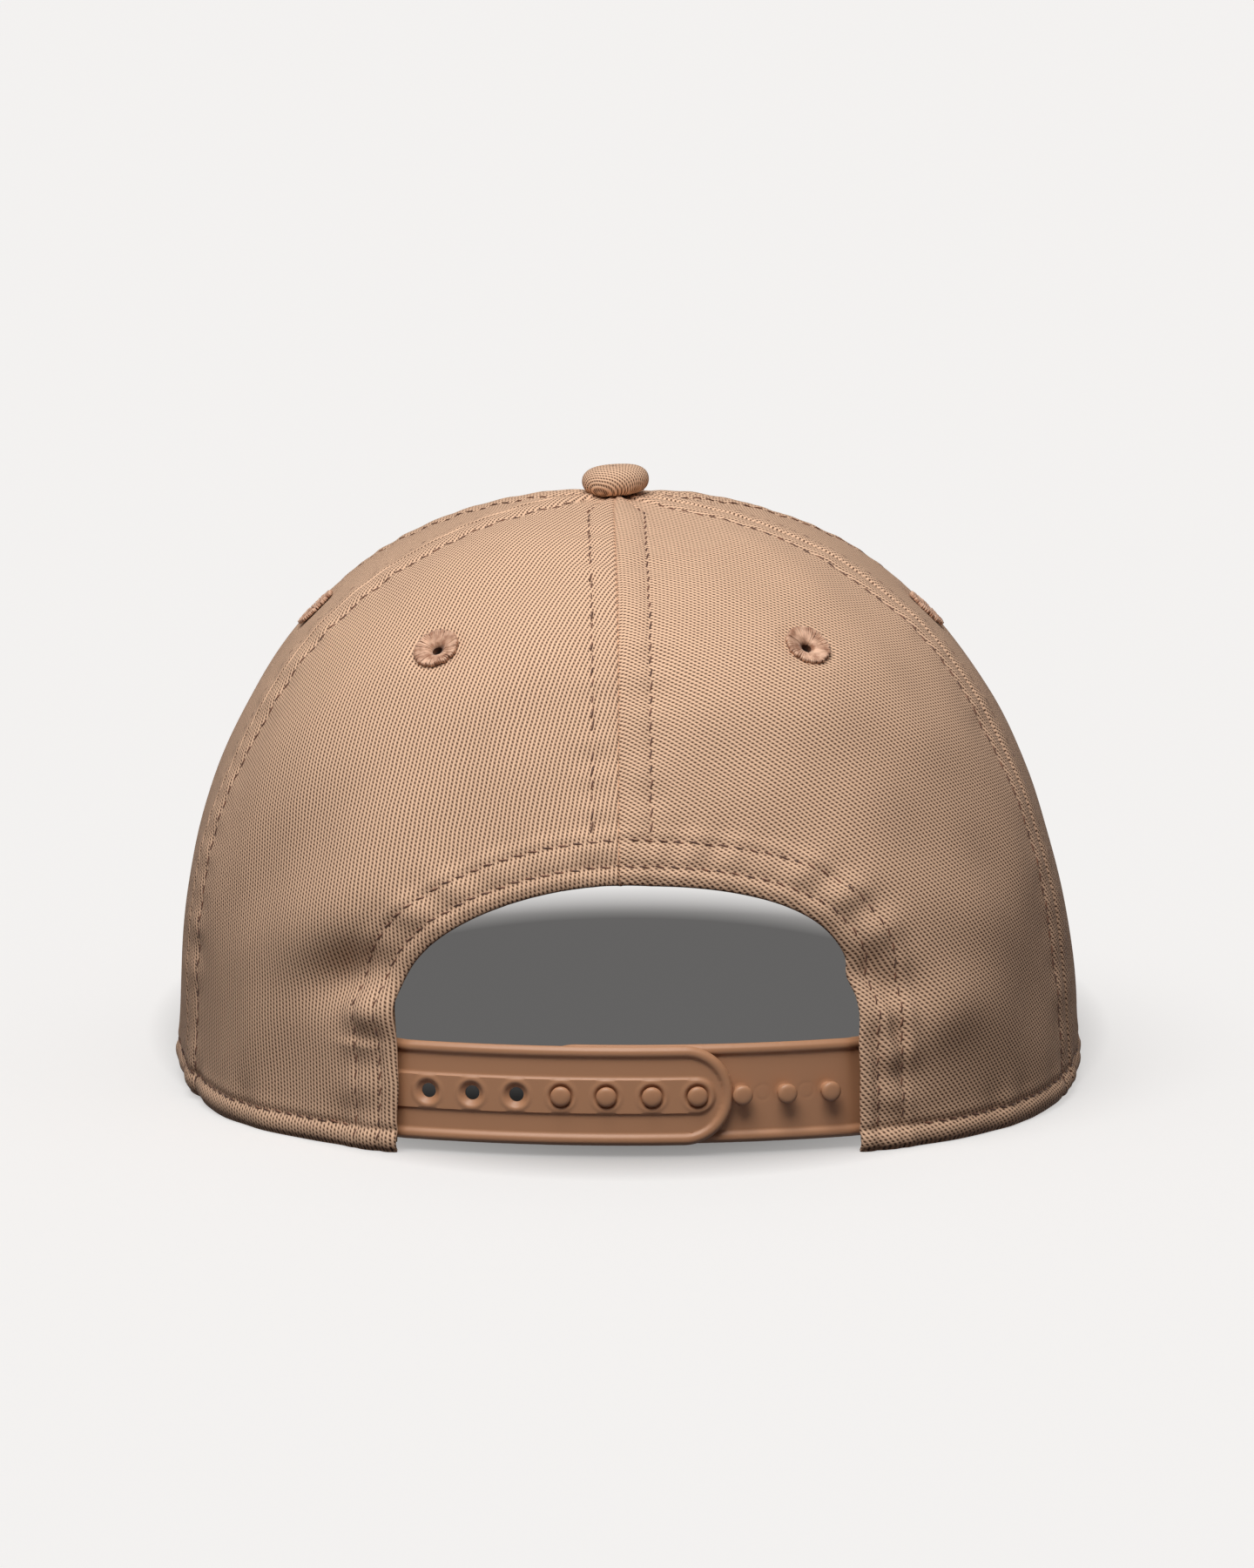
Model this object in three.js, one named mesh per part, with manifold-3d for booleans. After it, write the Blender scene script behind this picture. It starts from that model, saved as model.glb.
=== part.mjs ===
// A six-panel baseball cap with a curved visor and a snap strap at the back, as an assembly of
// its separate pieces. Millimetres. +Y points to the visor, +X to the wearer's right, +Z up.
// The cap stands on the rim of its rear panels, at z = 0.

import * as THREE from "three";
import { mergeVertices } from "three/addons/utils/BufferGeometryUtils.js";
import Module from "manifold-3d";

const wasm = await Module();
wasm.setup();

// ---- Driving dimensions -------------------------------------------------------------------

const degrees = Math.PI / 180;

// The crown's outer surface. Its plan is a superellipse, and each upright section is another.
const CROWN = {
  halfWidth: 89.5,
  rearReach: 91,
  frontReach: 104,
  height: 112.2,
  rearSquareness: 2.34,
  frontSquareness: 2.14,
  rearFullness: 2.38,
  sideFullness: 2.42,
  frontFullness: 2.6,
  apexHoleRadius: 3.2,
};

// Azimuths are measured from the front, positive towards +X.
const SEAMS = { front: 60 * degrees, rear: 109.5 * degrees };
const RIM = { flatFrom: 130 * degrees, fall: 1.4 };

const CLOTH = { panel: 1.2, buckram: 0.6, tape: 0.5, sweatband: 1.2, facing: 0.5, label: 0.3 };
const GAP = 0.3; // between neighbouring pieces
const SEAM_GAP = 0.3; // between the sewn edges of two panels
const SHELL_GAP = 0.6; // between curved layers of the crown, whose facets don't line up

const TAPE = { halfWidth: 6, endRadius: 15, aboveRim: 1.5 };
const SWEATBAND = { height: 32, aboveRim: 0.6, fromTab: 2 };
const ARCH = { halfWidth: 43.5, spring: 26.5, rise: 23.5, facingWidth: 8 };
const EYELET = {
  azimuths: { front: 30 * degrees, side: 86 * degrees, rear: 146 * degrees },
  height: 91.5,
  radius: 4.4,
  boreRadius: 1.1,
  stemRadius: 2.2,
  flange: 0.5,
  backGap: 0.9, // the cloth curves in towards the flat inner ring
};

const VISOR = {
  endAzimuth: 58 * degrees,
  reach: 69,
  sideReach: 4.3,
  cornerReach: 1.6,
  squareness: 2.25,
  crossRadius: 147,
  slope: 9 * degrees,
  lowest: 0.4,
  board: 1.8,
  cover: 0.6,
  wallGap: 0.8,
  sideTurn: 88 * degrees,
};

const BUTTON = { radius: 6.65, height: 6.2, cover: 0.6, shell: 0.9, stemRadius: 1.4, clench: 4.6 };

// Both straps are bent to arcs about one upright line and lie one behind the other.
const STRAP = {
  height: 18.5,
  bottom: 1.2,
  thickness: 1.3,
  radius: 132,
  fromArch: 0.7,
  tabLength: 15,
  endGap: 0.15, // between the holed strap's end and the first bare peg
  pitch: 8.56,
  stations: 10,
  used: 7,
  layerGap: 0.35,
};
const PEG = { stem: 1.45, head: 1.65, tip: 1.2, neck: 1.9, headTop: 2.4, height: 3 };
const PEG_HOLE_CLEARANCE = 0.6; // round the head, so that a stiff strap lifts off its pegs
const LABEL = { azimuth: -118 * degrees, halfWidth: 14, bottom: 16, top: 44 };

// ---- Small tools --------------------------------------------------------------------------

const mix = (a, b, t) => a + (b - a) * t;

/** The number between low and high where a rising function reaches its target. */
function solve(rising, target, low, high) {
  for (let step = 0; step < 40; step += 1) {
    const middle = (low + high) / 2;
    if (rising(middle) < target) low = middle;
    else high = middle;
  }
  return (low + high) / 2;
}

/** A closed sheet: place(u, v, side) gives its points, with u and v from 0 to 1 and side 0 or 1. */
function sheet(columns, rows, place) {
  const wide = columns + 1;
  const layer = wide * (rows + 1);
  const at = (i, j, side) => side * layer + j * wide + i;
  const positions = [];
  for (const side of [0, 1]) {
    for (let j = 0; j <= rows; j += 1) {
      for (let i = 0; i <= columns; i += 1) {
        positions.push(...place(i / columns, j / rows, side).toArray());
      }
    }
  }
  const index = [];
  const quad = (a, b, c, d) => index.push(a, b, c, a, c, d);
  for (let j = 0; j < rows; j += 1) {
    for (let i = 0; i < columns; i += 1) {
      quad(at(i, j, 0), at(i, j + 1, 0), at(i + 1, j + 1, 0), at(i + 1, j, 0));
      quad(at(i, j, 1), at(i + 1, j, 1), at(i + 1, j + 1, 1), at(i, j + 1, 1));
    }
  }
  for (let j = 0; j < rows; j += 1) {
    quad(at(0, j, 0), at(0, j, 1), at(0, j + 1, 1), at(0, j + 1, 0));
    quad(at(columns, j, 0), at(columns, j + 1, 0), at(columns, j + 1, 1), at(columns, j, 1));
  }
  for (let i = 0; i < columns; i += 1) {
    quad(at(i, 0, 0), at(i + 1, 0, 0), at(i + 1, 0, 1), at(i, 0, 1));
    quad(at(i, rows, 0), at(i, rows, 1), at(i + 1, rows, 1), at(i + 1, rows, 0));
  }
  const made = new THREE.BufferGeometry();
  made.setAttribute("position", new THREE.Float32BufferAttribute(positions, 3));
  made.setIndex(index);
  return geometryOf(solidOf(made));
}

/** A geometry as a solid that can be joined or cut, with its faces turned out. */
function solidOf(geometry) {
  const bare = geometry.index ? geometry.toNonIndexed() : geometry.clone();
  bare.deleteAttribute("normal");
  bare.deleteAttribute("uv");
  const merged = mergeVertices(bare, 1e-4);
  const triVerts = new Uint32Array(merged.index.array);
  const vertProperties = merged.attributes.position.array;
  const made = new wasm.Manifold(new wasm.Mesh({ numProp: 3, vertProperties, triVerts }));
  if (made.volume() >= 0) return made;
  for (let i = 0; i < triVerts.length; i += 3) {
    [triVerts[i + 1], triVerts[i + 2]] = [triVerts[i + 2], triVerts[i + 1]];
  }
  return new wasm.Manifold(new wasm.Mesh({ numProp: 3, vertProperties, triVerts }));
}

function geometryOf(solid) {
  const mesh = solid.getMesh();
  const made = new THREE.BufferGeometry();
  made.setAttribute("position", new THREE.Float32BufferAttribute(mesh.vertProperties, 3));
  made.setIndex(new THREE.Uint32BufferAttribute(mesh.triVerts, 1));
  return made;
}

function cut(geometry, cutters) {
  return geometryOf(cutters.reduce((solid, cutter) => solid.subtract(solidOf(cutter)), solidOf(geometry)));
}

function join(geometry, others) {
  return geometryOf(others.reduce((solid, other) => solid.add(solidOf(other)), solidOf(geometry)));
}

/** Turns a geometry made along +Y to point along a direction from a place. */
function aim(geometry, place, direction) {
  const turn = new THREE.Quaternion().setFromUnitVectors(new THREE.Vector3(0, 1, 0), direction);
  return geometry.applyQuaternion(turn).translate(...place.toArray());
}

// ---- The crown's surface ------------------------------------------------------------------

function planRadius(azimuth) {
  const forward = Math.cos(azimuth);
  const reach = forward > 0 ? CROWN.frontReach : CROWN.rearReach;
  const power = mix(CROWN.rearSquareness, CROWN.frontSquareness, 0.5 + 0.5 * forward);
  const across = Math.abs(Math.sin(azimuth) / CROWN.halfWidth) ** power;
  return (across + Math.abs(forward / reach) ** power) ** (-1 / power);
}

function fullness(azimuth) {
  const forward = Math.cos(azimuth);
  const end = forward > 0 ? CROWN.frontFullness : CROWN.rearFullness;
  return mix(CROWN.sideFullness, end, Math.abs(forward));
}

/** The rise angle, 0 at the level of the rear rim and a quarter turn at the apex, of a height. */
function riseOf(azimuth, height) {
  return Math.asin(Math.max(height / CROWN.height, 0) ** (fullness(azimuth) / 2));
}

/** The rise angle at a distance from the crown's axis. */
function riseAtRadius(azimuth, radius) {
  return Math.acos((radius / planRadius(azimuth)) ** (fullness(azimuth) / 2));
}

function outerPoint(azimuth, rise) {
  const power = 2 / fullness(azimuth);
  const radius = planRadius(azimuth) * Math.cos(rise) ** power;
  const height = CROWN.height * Math.sin(Math.max(rise, 0)) ** power;
  return new THREE.Vector3(radius * Math.sin(azimuth), radius * Math.cos(azimuth), height);
}

function outwardNormal(azimuth, rise) {
  const step = 1e-3;
  const here = outerPoint(azimuth, rise);
  const aside = outerPoint(azimuth + step, rise).sub(here);
  const up = outerPoint(azimuth, rise + step).sub(here);
  return up.cross(aside).normalize();
}

/** A point under the crown's outer surface. At the rim it keeps the rim's own height. */
function crownPoint(azimuth, rise, inset) {
  const point = outerPoint(azimuth, rise);
  const normal = outwardNormal(azimuth, rise);
  normal.z *= THREE.MathUtils.smoothstep(rise, 0.1, 0.5);
  return point.addScaledVector(normal, -inset);
}

/** The visor's lower surface: bent across, and falling towards the front. */
function visorFloor(x, y) {
  const bend = VISOR.crossRadius - Math.sqrt(VISOR.crossRadius ** 2 - x * x);
  return -bend - Math.tan(VISOR.slope) * (y - CROWN.frontReach);
}

/** A point on the visor's outer edge, for u from -1 to 1 between its corners. */
function visorEdge(u) {
  const turn = u * VISOR.sideTurn;
  const power = 2 / VISOR.squareness;
  const corner = outerPoint(VISOR.endAzimuth, 0);
  const halfWidth = corner.x + VISOR.sideReach;
  const shoulder = corner.y + VISOR.cornerReach;
  const reach = CROWN.frontReach + VISOR.reach - shoulder;
  const x = halfWidth * Math.sign(turn) * Math.abs(Math.sin(turn)) ** power;
  return new THREE.Vector2(x, shoulder + reach * Math.cos(turn) ** power);
}

/** The height that puts the lowest point of the visor's edge just above the ground. */
function visorCentreHeight() {
  let least = 0;
  for (let u = 0; u <= 1; u += 0.01) {
    const edge = visorEdge(u);
    least = Math.min(least, visorFloor(edge.x, edge.y));
  }
  return VISOR.lowest - least;
}

const visorHeight = visorCentreHeight();

/** The rim's height: on the visor in front, falling behind the temples to the flat rear rim. */
function rimHeight(azimuth) {
  const turn = Math.abs(azimuth);
  const onVisor = Math.min(turn, VISOR.endAzimuth);
  const radius = planRadius(onVisor);
  const height = visorHeight + visorFloor(radius * Math.sin(onVisor), radius * Math.cos(onVisor));
  const share = (turn - VISOR.endAzimuth) / (RIM.flatFrom - VISOR.endAzimuth);
  return height * (1 - THREE.MathUtils.clamp(share, 0, 1)) ** RIM.fall;
}

/** The azimuth where a layer of the rear crown is at a distance from the middle plane. */
function rearAzimuth(x, height, inset) {
  const sideways = (turn) => {
    const azimuth = Math.PI - turn;
    return crownPoint(azimuth, riseOf(azimuth, height), inset).x;
  };
  return (Math.PI - solve(sideways, Math.abs(x), 0, Math.PI / 2)) * Math.sign(x || 1);
}

function rearPoint(x, height, inset) {
  const azimuth = rearAzimuth(x, height, inset);
  return crownPoint(azimuth, riseOf(azimuth, height), inset);
}

// ---- Crown pieces -------------------------------------------------------------------------

/** A shell piece between two azimuths, each side held back by a distance from its seam line. */
function crownShell({ from, to, setback, inset, thickness, bottom, topRadius, columns, rows }) {
  return sheet(columns, rows, (u, v, side) => {
    const middle = mix(from, to, u);
    const low = riseOf(middle, rimHeight(middle) + bottom);
    const rise = mix(low, riseAtRadius(middle, topRadius), v);
    const radius = Math.hypot(outerPoint(middle, rise).x, outerPoint(middle, rise).y);
    const azimuth = mix(from + setback / radius, to - setback / radius, u);
    const held = v === 0 ? riseOf(azimuth, rimHeight(azimuth) + bottom) : rise;
    return crownPoint(azimuth, held, inset + side * thickness);
  });
}

function eyeletPlace(azimuth) {
  const rise = riseOf(azimuth, EYELET.height);
  return { point: outerPoint(azimuth, rise), normal: outwardNormal(azimuth, rise) };
}

function eyeletCutter(azimuth, radius) {
  const { point, normal } = eyeletPlace(azimuth);
  return aim(new THREE.CylinderGeometry(radius, radius, 16, 12), point, normal);
}

function archOutline(spread) {
  const outline = new THREE.Shape();
  outline.moveTo(-ARCH.halfWidth - spread, -5);
  outline.lineTo(ARCH.halfWidth + spread, -5);
  outline.absellipse(0, ARCH.spring, ARCH.halfWidth + spread, ARCH.rise + spread, 0, Math.PI);
  outline.closePath();
  return outline;
}

function archCutter() {
  const made = new THREE.ExtrudeGeometry(archOutline(0), {
    depth: 80,
    bevelEnabled: false,
    curveSegments: 28,
  });
  return made.rotateX(Math.PI / 2).translate(0, -35, 0);
}

function panel(from, to, eyeletAzimuth) {
  const made = crownShell({
    from,
    to,
    setback: SEAM_GAP / 2,
    inset: 0,
    thickness: CLOTH.panel,
    bottom: 0,
    topRadius: CROWN.apexHoleRadius,
    columns: 10,
    rows: 12,
  });
  const cutters = [eyeletCutter(eyeletAzimuth, EYELET.stemRadius + GAP)];
  const atBack = Math.abs(from + to) / 2 > SEAMS.rear;
  if (atBack) cutters.push(archCutter());
  return cut(made, cutters);
}

const LINING_INSET = CLOTH.panel + SHELL_GAP;
const SWEATBAND_INSET = LINING_INSET + CLOTH.buckram + SHELL_GAP;
const TAB_INSET = LINING_INSET + CLOTH.facing + GAP;
const rootX = ARCH.halfWidth - STRAP.fromArch;

function buckram(from, to) {
  const made = crownShell({
    from,
    to,
    setback: TAPE.halfWidth + GAP,
    inset: LINING_INSET,
    thickness: CLOTH.buckram,
    bottom: TAPE.aboveRim,
    topRadius: TAPE.endRadius + 2,
    columns: 8,
    rows: 9,
  });
  return cut(made, [eyeletCutter(EYELET.azimuths.front * Math.sign(from + to), EYELET.radius + GAP * 2)]);
}

function seamTape(azimuth, bottom) {
  return sheet(2, 10, (u, v, side) => {
    const low = riseOf(azimuth, rimHeight(azimuth) + bottom);
    const rise = mix(low, riseAtRadius(azimuth, TAPE.endRadius), v);
    const centre = outerPoint(azimuth, rise);
    const spread = TAPE.halfWidth / Math.hypot(centre.x, centre.y);
    return crownPoint(azimuth + mix(-spread, spread, u), rise, LINING_INSET + side * CLOTH.tape);
  });
}

function sweatband() {
  const end = rearAzimuth(rootX + STRAP.tabLength + SWEATBAND.fromTab, 0, SWEATBAND_INSET);
  return sheet(40, 3, (u, v, side) => {
    const azimuth = mix(-end, end, u);
    const height = rimHeight(azimuth) + mix(SWEATBAND.aboveRim, SWEATBAND.height, v);
    return crownPoint(azimuth, riseOf(azimuth, height), SWEATBAND_INSET + side * CLOTH.sweatband);
  });
}

/** The tape that binds the arch inside: up one leg, over the arch and down the other. */
function archFacing() {
  const legs = ARCH.spring - TAPE.aboveRim;
  const total = legs * 2 + ARCH.rise * Math.PI;
  return sheet(30, 1, (u, v, side) => {
    const spread = GAP + v * ARCH.facingWidth;
    const along = u * total;
    const turn = THREE.MathUtils.clamp((along - legs) / (total - 2 * legs), 0, 1) * Math.PI;
    const below = Math.max(legs - along, along - (total - legs), 0);
    const x = -Math.cos(turn) * (ARCH.halfWidth + spread);
    const height = ARCH.spring + Math.sin(turn) * (ARCH.rise + spread) - below;
    return rearPoint(x, height, LINING_INSET + side * CLOTH.facing);
  });
}

function careLabel() {
  const inset = SWEATBAND_INSET + CLOTH.sweatband + GAP * 2;
  return sheet(3, 3, (u, v, side) => {
    const spread = LABEL.halfWidth / planRadius(LABEL.azimuth);
    const azimuth = LABEL.azimuth + mix(-spread, spread, u);
    return crownPoint(azimuth, riseOf(azimuth, mix(LABEL.bottom, LABEL.top, v)), inset + side * CLOTH.label);
  });
}

/** A sewn thread eyelet: a ring outside, a stem through the cloth and a ring inside. */
function eyelet(azimuth) {
  const { point, normal } = eyeletPlace(azimuth);
  const out = GAP + EYELET.flange;
  const back = CLOTH.panel + EYELET.backGap;
  const profile = [
    [EYELET.boreRadius, -back - EYELET.flange],
    [EYELET.radius, -back - EYELET.flange],
    [EYELET.radius, -back],
    [EYELET.stemRadius, -back],
    [EYELET.stemRadius, GAP],
    [EYELET.radius, GAP],
    [EYELET.radius - 0.6, out],
    [EYELET.boreRadius, out],
    [EYELET.boreRadius, -back - EYELET.flange],
  ].map(([radius, height]) => new THREE.Vector2(radius, height));
  return aim(geometryOf(solidOf(new THREE.LatheGeometry(profile, 10))), point, normal);
}

// ---- Button -------------------------------------------------------------------------------

/** A dome's profile from its rim to the axis. */
function dome(radius, height, base, steps) {
  const points = [];
  for (let k = 0; k <= steps; k += 1) {
    const turn = (k / steps) * (Math.PI / 2);
    points.push(new THREE.Vector2(radius * Math.cos(turn) ** 0.8, base + height * Math.sin(turn)));
  }
  points[steps].x = 0;
  return points;
}

function lathe(profile, segments) {
  return geometryOf(solidOf(new THREE.LatheGeometry(profile, segments).rotateX(Math.PI / 2)));
}

function domeShell(radius, height, base, thickness) {
  const outside = dome(radius, height, base, 4);
  const inside = dome(radius - thickness, height - thickness, base, 4).reverse();
  return lathe([...inside, ...outside], 16);
}

const buttonBase = CROWN.height + GAP;

function buttonCover() {
  return domeShell(BUTTON.radius, BUTTON.height, buttonBase, BUTTON.cover);
}

function buttonShell() {
  const less = BUTTON.cover + GAP;
  return domeShell(BUTTON.radius - less, BUTTON.height - less, buttonBase, BUTTON.shell);
}

/** The post under the button: through the apex hole, and clenched over inside. */
function buttonStud() {
  const under = CROWN.height - CLOTH.panel - GAP * 2;
  const top = buttonBase + BUTTON.height - BUTTON.cover - BUTTON.shell - GAP * 3;
  const profile = [
    [0, under - 0.8],
    [BUTTON.clench, under - 0.8],
    [BUTTON.clench, under],
    [BUTTON.stemRadius, under],
    [BUTTON.stemRadius, top],
    [0, top],
  ].map(([radius, height]) => new THREE.Vector2(radius, height));
  return lathe(profile, 12);
}

// ---- Visor --------------------------------------------------------------------------------

/** A layer of the visor, from its bottom height to its top height over the lower surface. */
function visorLayer(bottom, top, edgeSetback) {
  return sheet(20, 4, (u, v, side) => {
    const across = mix(-1, 1, u);
    const azimuth = across * VISOR.endAzimuth;
    const wall = outerPoint(azimuth, riseOf(azimuth, rimHeight(azimuth)));
    const inner = new THREE.Vector2(wall.x, wall.y);
    const edge = visorEdge(across);
    inner.setLength(inner.length() + VISOR.wallGap);
    const run = edge.clone().sub(inner);
    const place = inner.addScaledVector(run, v * (1 - edgeSetback / run.length()));
    const floor = visorHeight + visorFloor(place.x, place.y);
    return new THREE.Vector3(place.x, place.y, floor + (side ? bottom : top));
  });
}

const boardBottom = VISOR.cover + GAP;
const boardTop = boardBottom + VISOR.board;

const visorUnderCover = () => visorLayer(0, VISOR.cover, 0);
const visorBoard = () => visorLayer(boardBottom, boardTop, 1);
const visorTopCover = () => visorLayer(boardTop + GAP, boardTop + GAP + VISOR.cover, 0);

// ---- Straps -------------------------------------------------------------------------------

const stationAt = (k) => (k - (STRAP.stations - 1) / 2) * STRAP.pitch;
const strapEnd = stationAt(STRAP.used) - PEG.head - STRAP.endGap;
const strapMiddle = STRAP.bottom + STRAP.height / 2;
const layerStep = STRAP.thickness + STRAP.layerGap;
const strapRoot = rearPoint(rootX, strapMiddle, TAB_INSET + STRAP.thickness / 2);
const strapCentreY = strapRoot.y + Math.sqrt((STRAP.radius - STRAP.thickness / 2) ** 2 - rootX ** 2);

/** A point on a strap's face, by its distance round the arc, its height and its radius. */
function strapPoint(along, height, radius) {
  const turn = along / STRAP.radius;
  return new THREE.Vector3(
    radius * Math.sin(turn),
    strapCentreY - radius * Math.cos(turn),
    height,
  );
}

/** A strap from its root to its round end. side is -1 for the left and 1 for the right. */
function strapPlate(side, outerRadius) {
  const half = STRAP.height / 2;
  const root = STRAP.radius * Math.asin(rootX / STRAP.radius);
  const roundFrom = strapEnd - half;
  return sheet(26, 1, (u, v, face) => {
    const turn = THREE.MathUtils.clamp((u - 0.7) / 0.3, 0, 1) * 86 * degrees;
    const reach = u < 0.7 ? mix(-root, roundFrom, u / 0.7) : roundFrom + half * Math.sin(turn);
    const height = strapMiddle + mix(-half, half, v) * Math.cos(turn);
    return strapPoint(-side * reach, height, outerRadius - face * STRAP.thickness);
  });
}

/** Something made along +Y, stood on a strap's outer face at a station, pointing out. */
function atStation(geometry, k, radius) {
  const place = strapPoint(stationAt(k), strapMiddle, radius);
  const outward = strapPoint(stationAt(k), strapMiddle, radius + 1).sub(place);
  return aim(geometry, place, outward);
}

function holedStrap() {
  const holes = [];
  for (let k = 0; k < STRAP.used; k += 1) {
    const radius = PEG.head + PEG_HOLE_CLEARANCE;
    holes.push(atStation(new THREE.CylinderGeometry(radius, radius, 6, 12), k, STRAP.radius));
  }
  return cut(strapPlate(-1, STRAP.radius), holes);
}

function pegProfile() {
  return [
    [0, -STRAP.thickness / 2],
    [PEG.stem, -STRAP.thickness / 2],
    [PEG.stem, PEG.neck],
    [PEG.head, PEG.neck + 0.2],
    [PEG.head, PEG.headTop],
    [PEG.tip, PEG.height],
    [0, PEG.height],
  ].map(([radius, height]) => new THREE.Vector2(radius, height));
}

function pegStrap() {
  const face = STRAP.radius - layerStep;
  const pegs = [];
  for (let k = STRAP.stations - STRAP.used; k < STRAP.stations; k += 1) {
    pegs.push(atStation(new THREE.LatheGeometry(pegProfile(), 10), k, face));
  }
  return join(strapPlate(1, face), pegs);
}

/** The end of a strap that is sewn in behind the rear panel. */
function strapTab(side, depth) {
  const inset = TAB_INSET + depth;
  const inside = inset + STRAP.thickness;
  const from = rearAzimuth(side * (rootX + GAP * 3), strapMiddle, inside);
  const to = rearAzimuth(side * (rootX + STRAP.tabLength), strapMiddle, inside);
  return sheet(4, 2, (u, v, face) => {
    const azimuth = mix(from, to, u);
    const height = mix(STRAP.bottom, STRAP.bottom + STRAP.height, v);
    return crownPoint(azimuth, riseOf(azimuth, height), inset + face * STRAP.thickness);
  });
}

// ---- Assembly -----------------------------------------------------------------------------

const finish = (color, roughness, metalness = 0) => ({ color, roughness, metalness });
const FINISHES = {
  twill: finish(0xb9936f, 0.9),
  thread: finish(0x7a5440, 0.7),
  buckram: finish(0xe6e4de, 0.95),
  lining: finish(0xb08d6c, 0.9),
  board: finish(0xe9e7e2, 0.6),
  plastic: finish(0xa97c5c, 0.45),
  steel: finish(0xb8babd, 0.35, 1),
  label: finish(0xf0eee8, 0.8),
};

const cap = new THREE.Group();

function add(name, geometry, kind) {
  const mesh = new THREE.Mesh(geometry, new THREE.MeshStandardMaterial(FINISHES[kind]));
  mesh.name = name;
  cap.add(mesh);
}

const aboveArch = ARCH.spring + ARCH.rise + ARCH.facingWidth + GAP * 2;

for (const [word, side] of [["left", -1], ["right", 1]]) {
  const bounds = [0, SEAMS.front, SEAMS.rear, Math.PI];
  ["front", "side", "rear"].forEach((zone, k) => {
    const [from, to] = [bounds[k] * side, bounds[k + 1] * side].sort((a, b) => a - b);
    const eyeletAzimuth = EYELET.azimuths[zone] * side;
    add(`panel_${zone}_${word}`, panel(from, to, eyeletAzimuth), "twill");
    add(`eyelet_${zone}_${word}`, eyelet(eyeletAzimuth), "thread");
  });
  const [from, to] = [0, SEAMS.front * side].sort((a, b) => a - b);
  add(`buckram_${word}`, buckram(from, to), "buckram");
  add(`seam_tape_front_${word}`, seamTape(SEAMS.front * side, TAPE.aboveRim), "lining");
  add(`seam_tape_rear_${word}`, seamTape(SEAMS.rear * side, TAPE.aboveRim), "lining");
}
add("seam_tape_centre_front", seamTape(0, TAPE.aboveRim), "lining");
add("seam_tape_centre_back", seamTape(Math.PI, aboveArch), "lining");
add("sweatband", sweatband(), "twill");
add("arch_facing", archFacing(), "lining");
add("care_label", careLabel(), "label");
add("button_cover", buttonCover(), "twill");
add("button_shell", buttonShell(), "steel");
add("button_stud", buttonStud(), "steel");
add("visor_top_cover", visorTopCover(), "twill");
add("visor_board", visorBoard(), "board");
add("visor_under_cover", visorUnderCover(), "twill");
add("holed_strap", holedStrap(), "plastic");
add("holed_strap_tab", strapTab(-1, 0), "plastic");
add("peg_strap", pegStrap(), "plastic");
add("peg_strap_tab", strapTab(1, layerStep), "plastic");

// The part's own origin is under the middle of its box, on the ground.
const box = new THREE.Box3().setFromObject(cap);
const middle = box.getCenter(new THREE.Vector3());
cap.position.set(-middle.x, -middle.y, -box.min.z);

export default cap;
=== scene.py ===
"""A tan six-panel baseball cap, seen from behind: sewn cotton twill on a stiffened crown, a curved visor
and a moulded snap strap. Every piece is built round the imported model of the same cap.

Lengths are in metres. +Y points to the visor, +X to the wearer's right, +Z up. An azimuth is measured
round the crown from the front, positive towards +X.
"""

import logging
import math
from collections.abc import Callable, Sequence
from dataclasses import dataclass, field
from enum import Enum

import bmesh
import bpy
import numpy as np
from mathutils import Matrix, Vector
from mathutils.bvhtree import BVHTree


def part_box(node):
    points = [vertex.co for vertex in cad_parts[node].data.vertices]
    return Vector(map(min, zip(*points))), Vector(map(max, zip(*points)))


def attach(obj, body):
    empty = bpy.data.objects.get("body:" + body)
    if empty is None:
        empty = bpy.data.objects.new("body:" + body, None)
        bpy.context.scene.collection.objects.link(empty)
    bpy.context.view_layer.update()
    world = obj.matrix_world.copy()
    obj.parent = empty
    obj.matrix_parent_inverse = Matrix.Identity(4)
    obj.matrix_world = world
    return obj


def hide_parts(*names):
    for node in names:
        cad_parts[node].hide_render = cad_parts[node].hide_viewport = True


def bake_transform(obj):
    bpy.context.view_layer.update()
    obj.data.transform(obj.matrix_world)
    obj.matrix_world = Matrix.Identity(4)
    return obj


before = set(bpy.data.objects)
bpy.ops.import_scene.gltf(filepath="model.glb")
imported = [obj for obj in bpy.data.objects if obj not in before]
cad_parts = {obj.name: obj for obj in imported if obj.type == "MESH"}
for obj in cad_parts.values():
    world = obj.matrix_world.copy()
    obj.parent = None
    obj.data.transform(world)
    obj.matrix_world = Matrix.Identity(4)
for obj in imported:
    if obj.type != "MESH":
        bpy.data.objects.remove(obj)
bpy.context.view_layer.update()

MM = 0.001
LOG = logging.getLogger("cap")

Colour = tuple[float, float, float, float]
Array = np.ndarray


class Side(Enum):
    """The two halves of the cap, as the wearer has them."""

    LEFT = -1
    RIGHT = 1

    @property
    def word(self) -> str:
        """The side's name in a piece's name."""
        return self.name.lower()


class Zone(Enum):
    """The three panels of each half, with the azimuths of their seams in degrees."""

    FRONT = (0.0, 60.0)
    SIDE = (60.0, 109.5)
    REAR = (109.5, 180.0)

    @property
    def eyelet(self) -> float:
        """The azimuth of the panel's eyelet, in radians."""
        return math.radians({"FRONT": 30.0, "SIDE": 86.0, "REAR": 146.0}[self.name])


# ---- Small tools ----------------------------------------------------------------------------------


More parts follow.
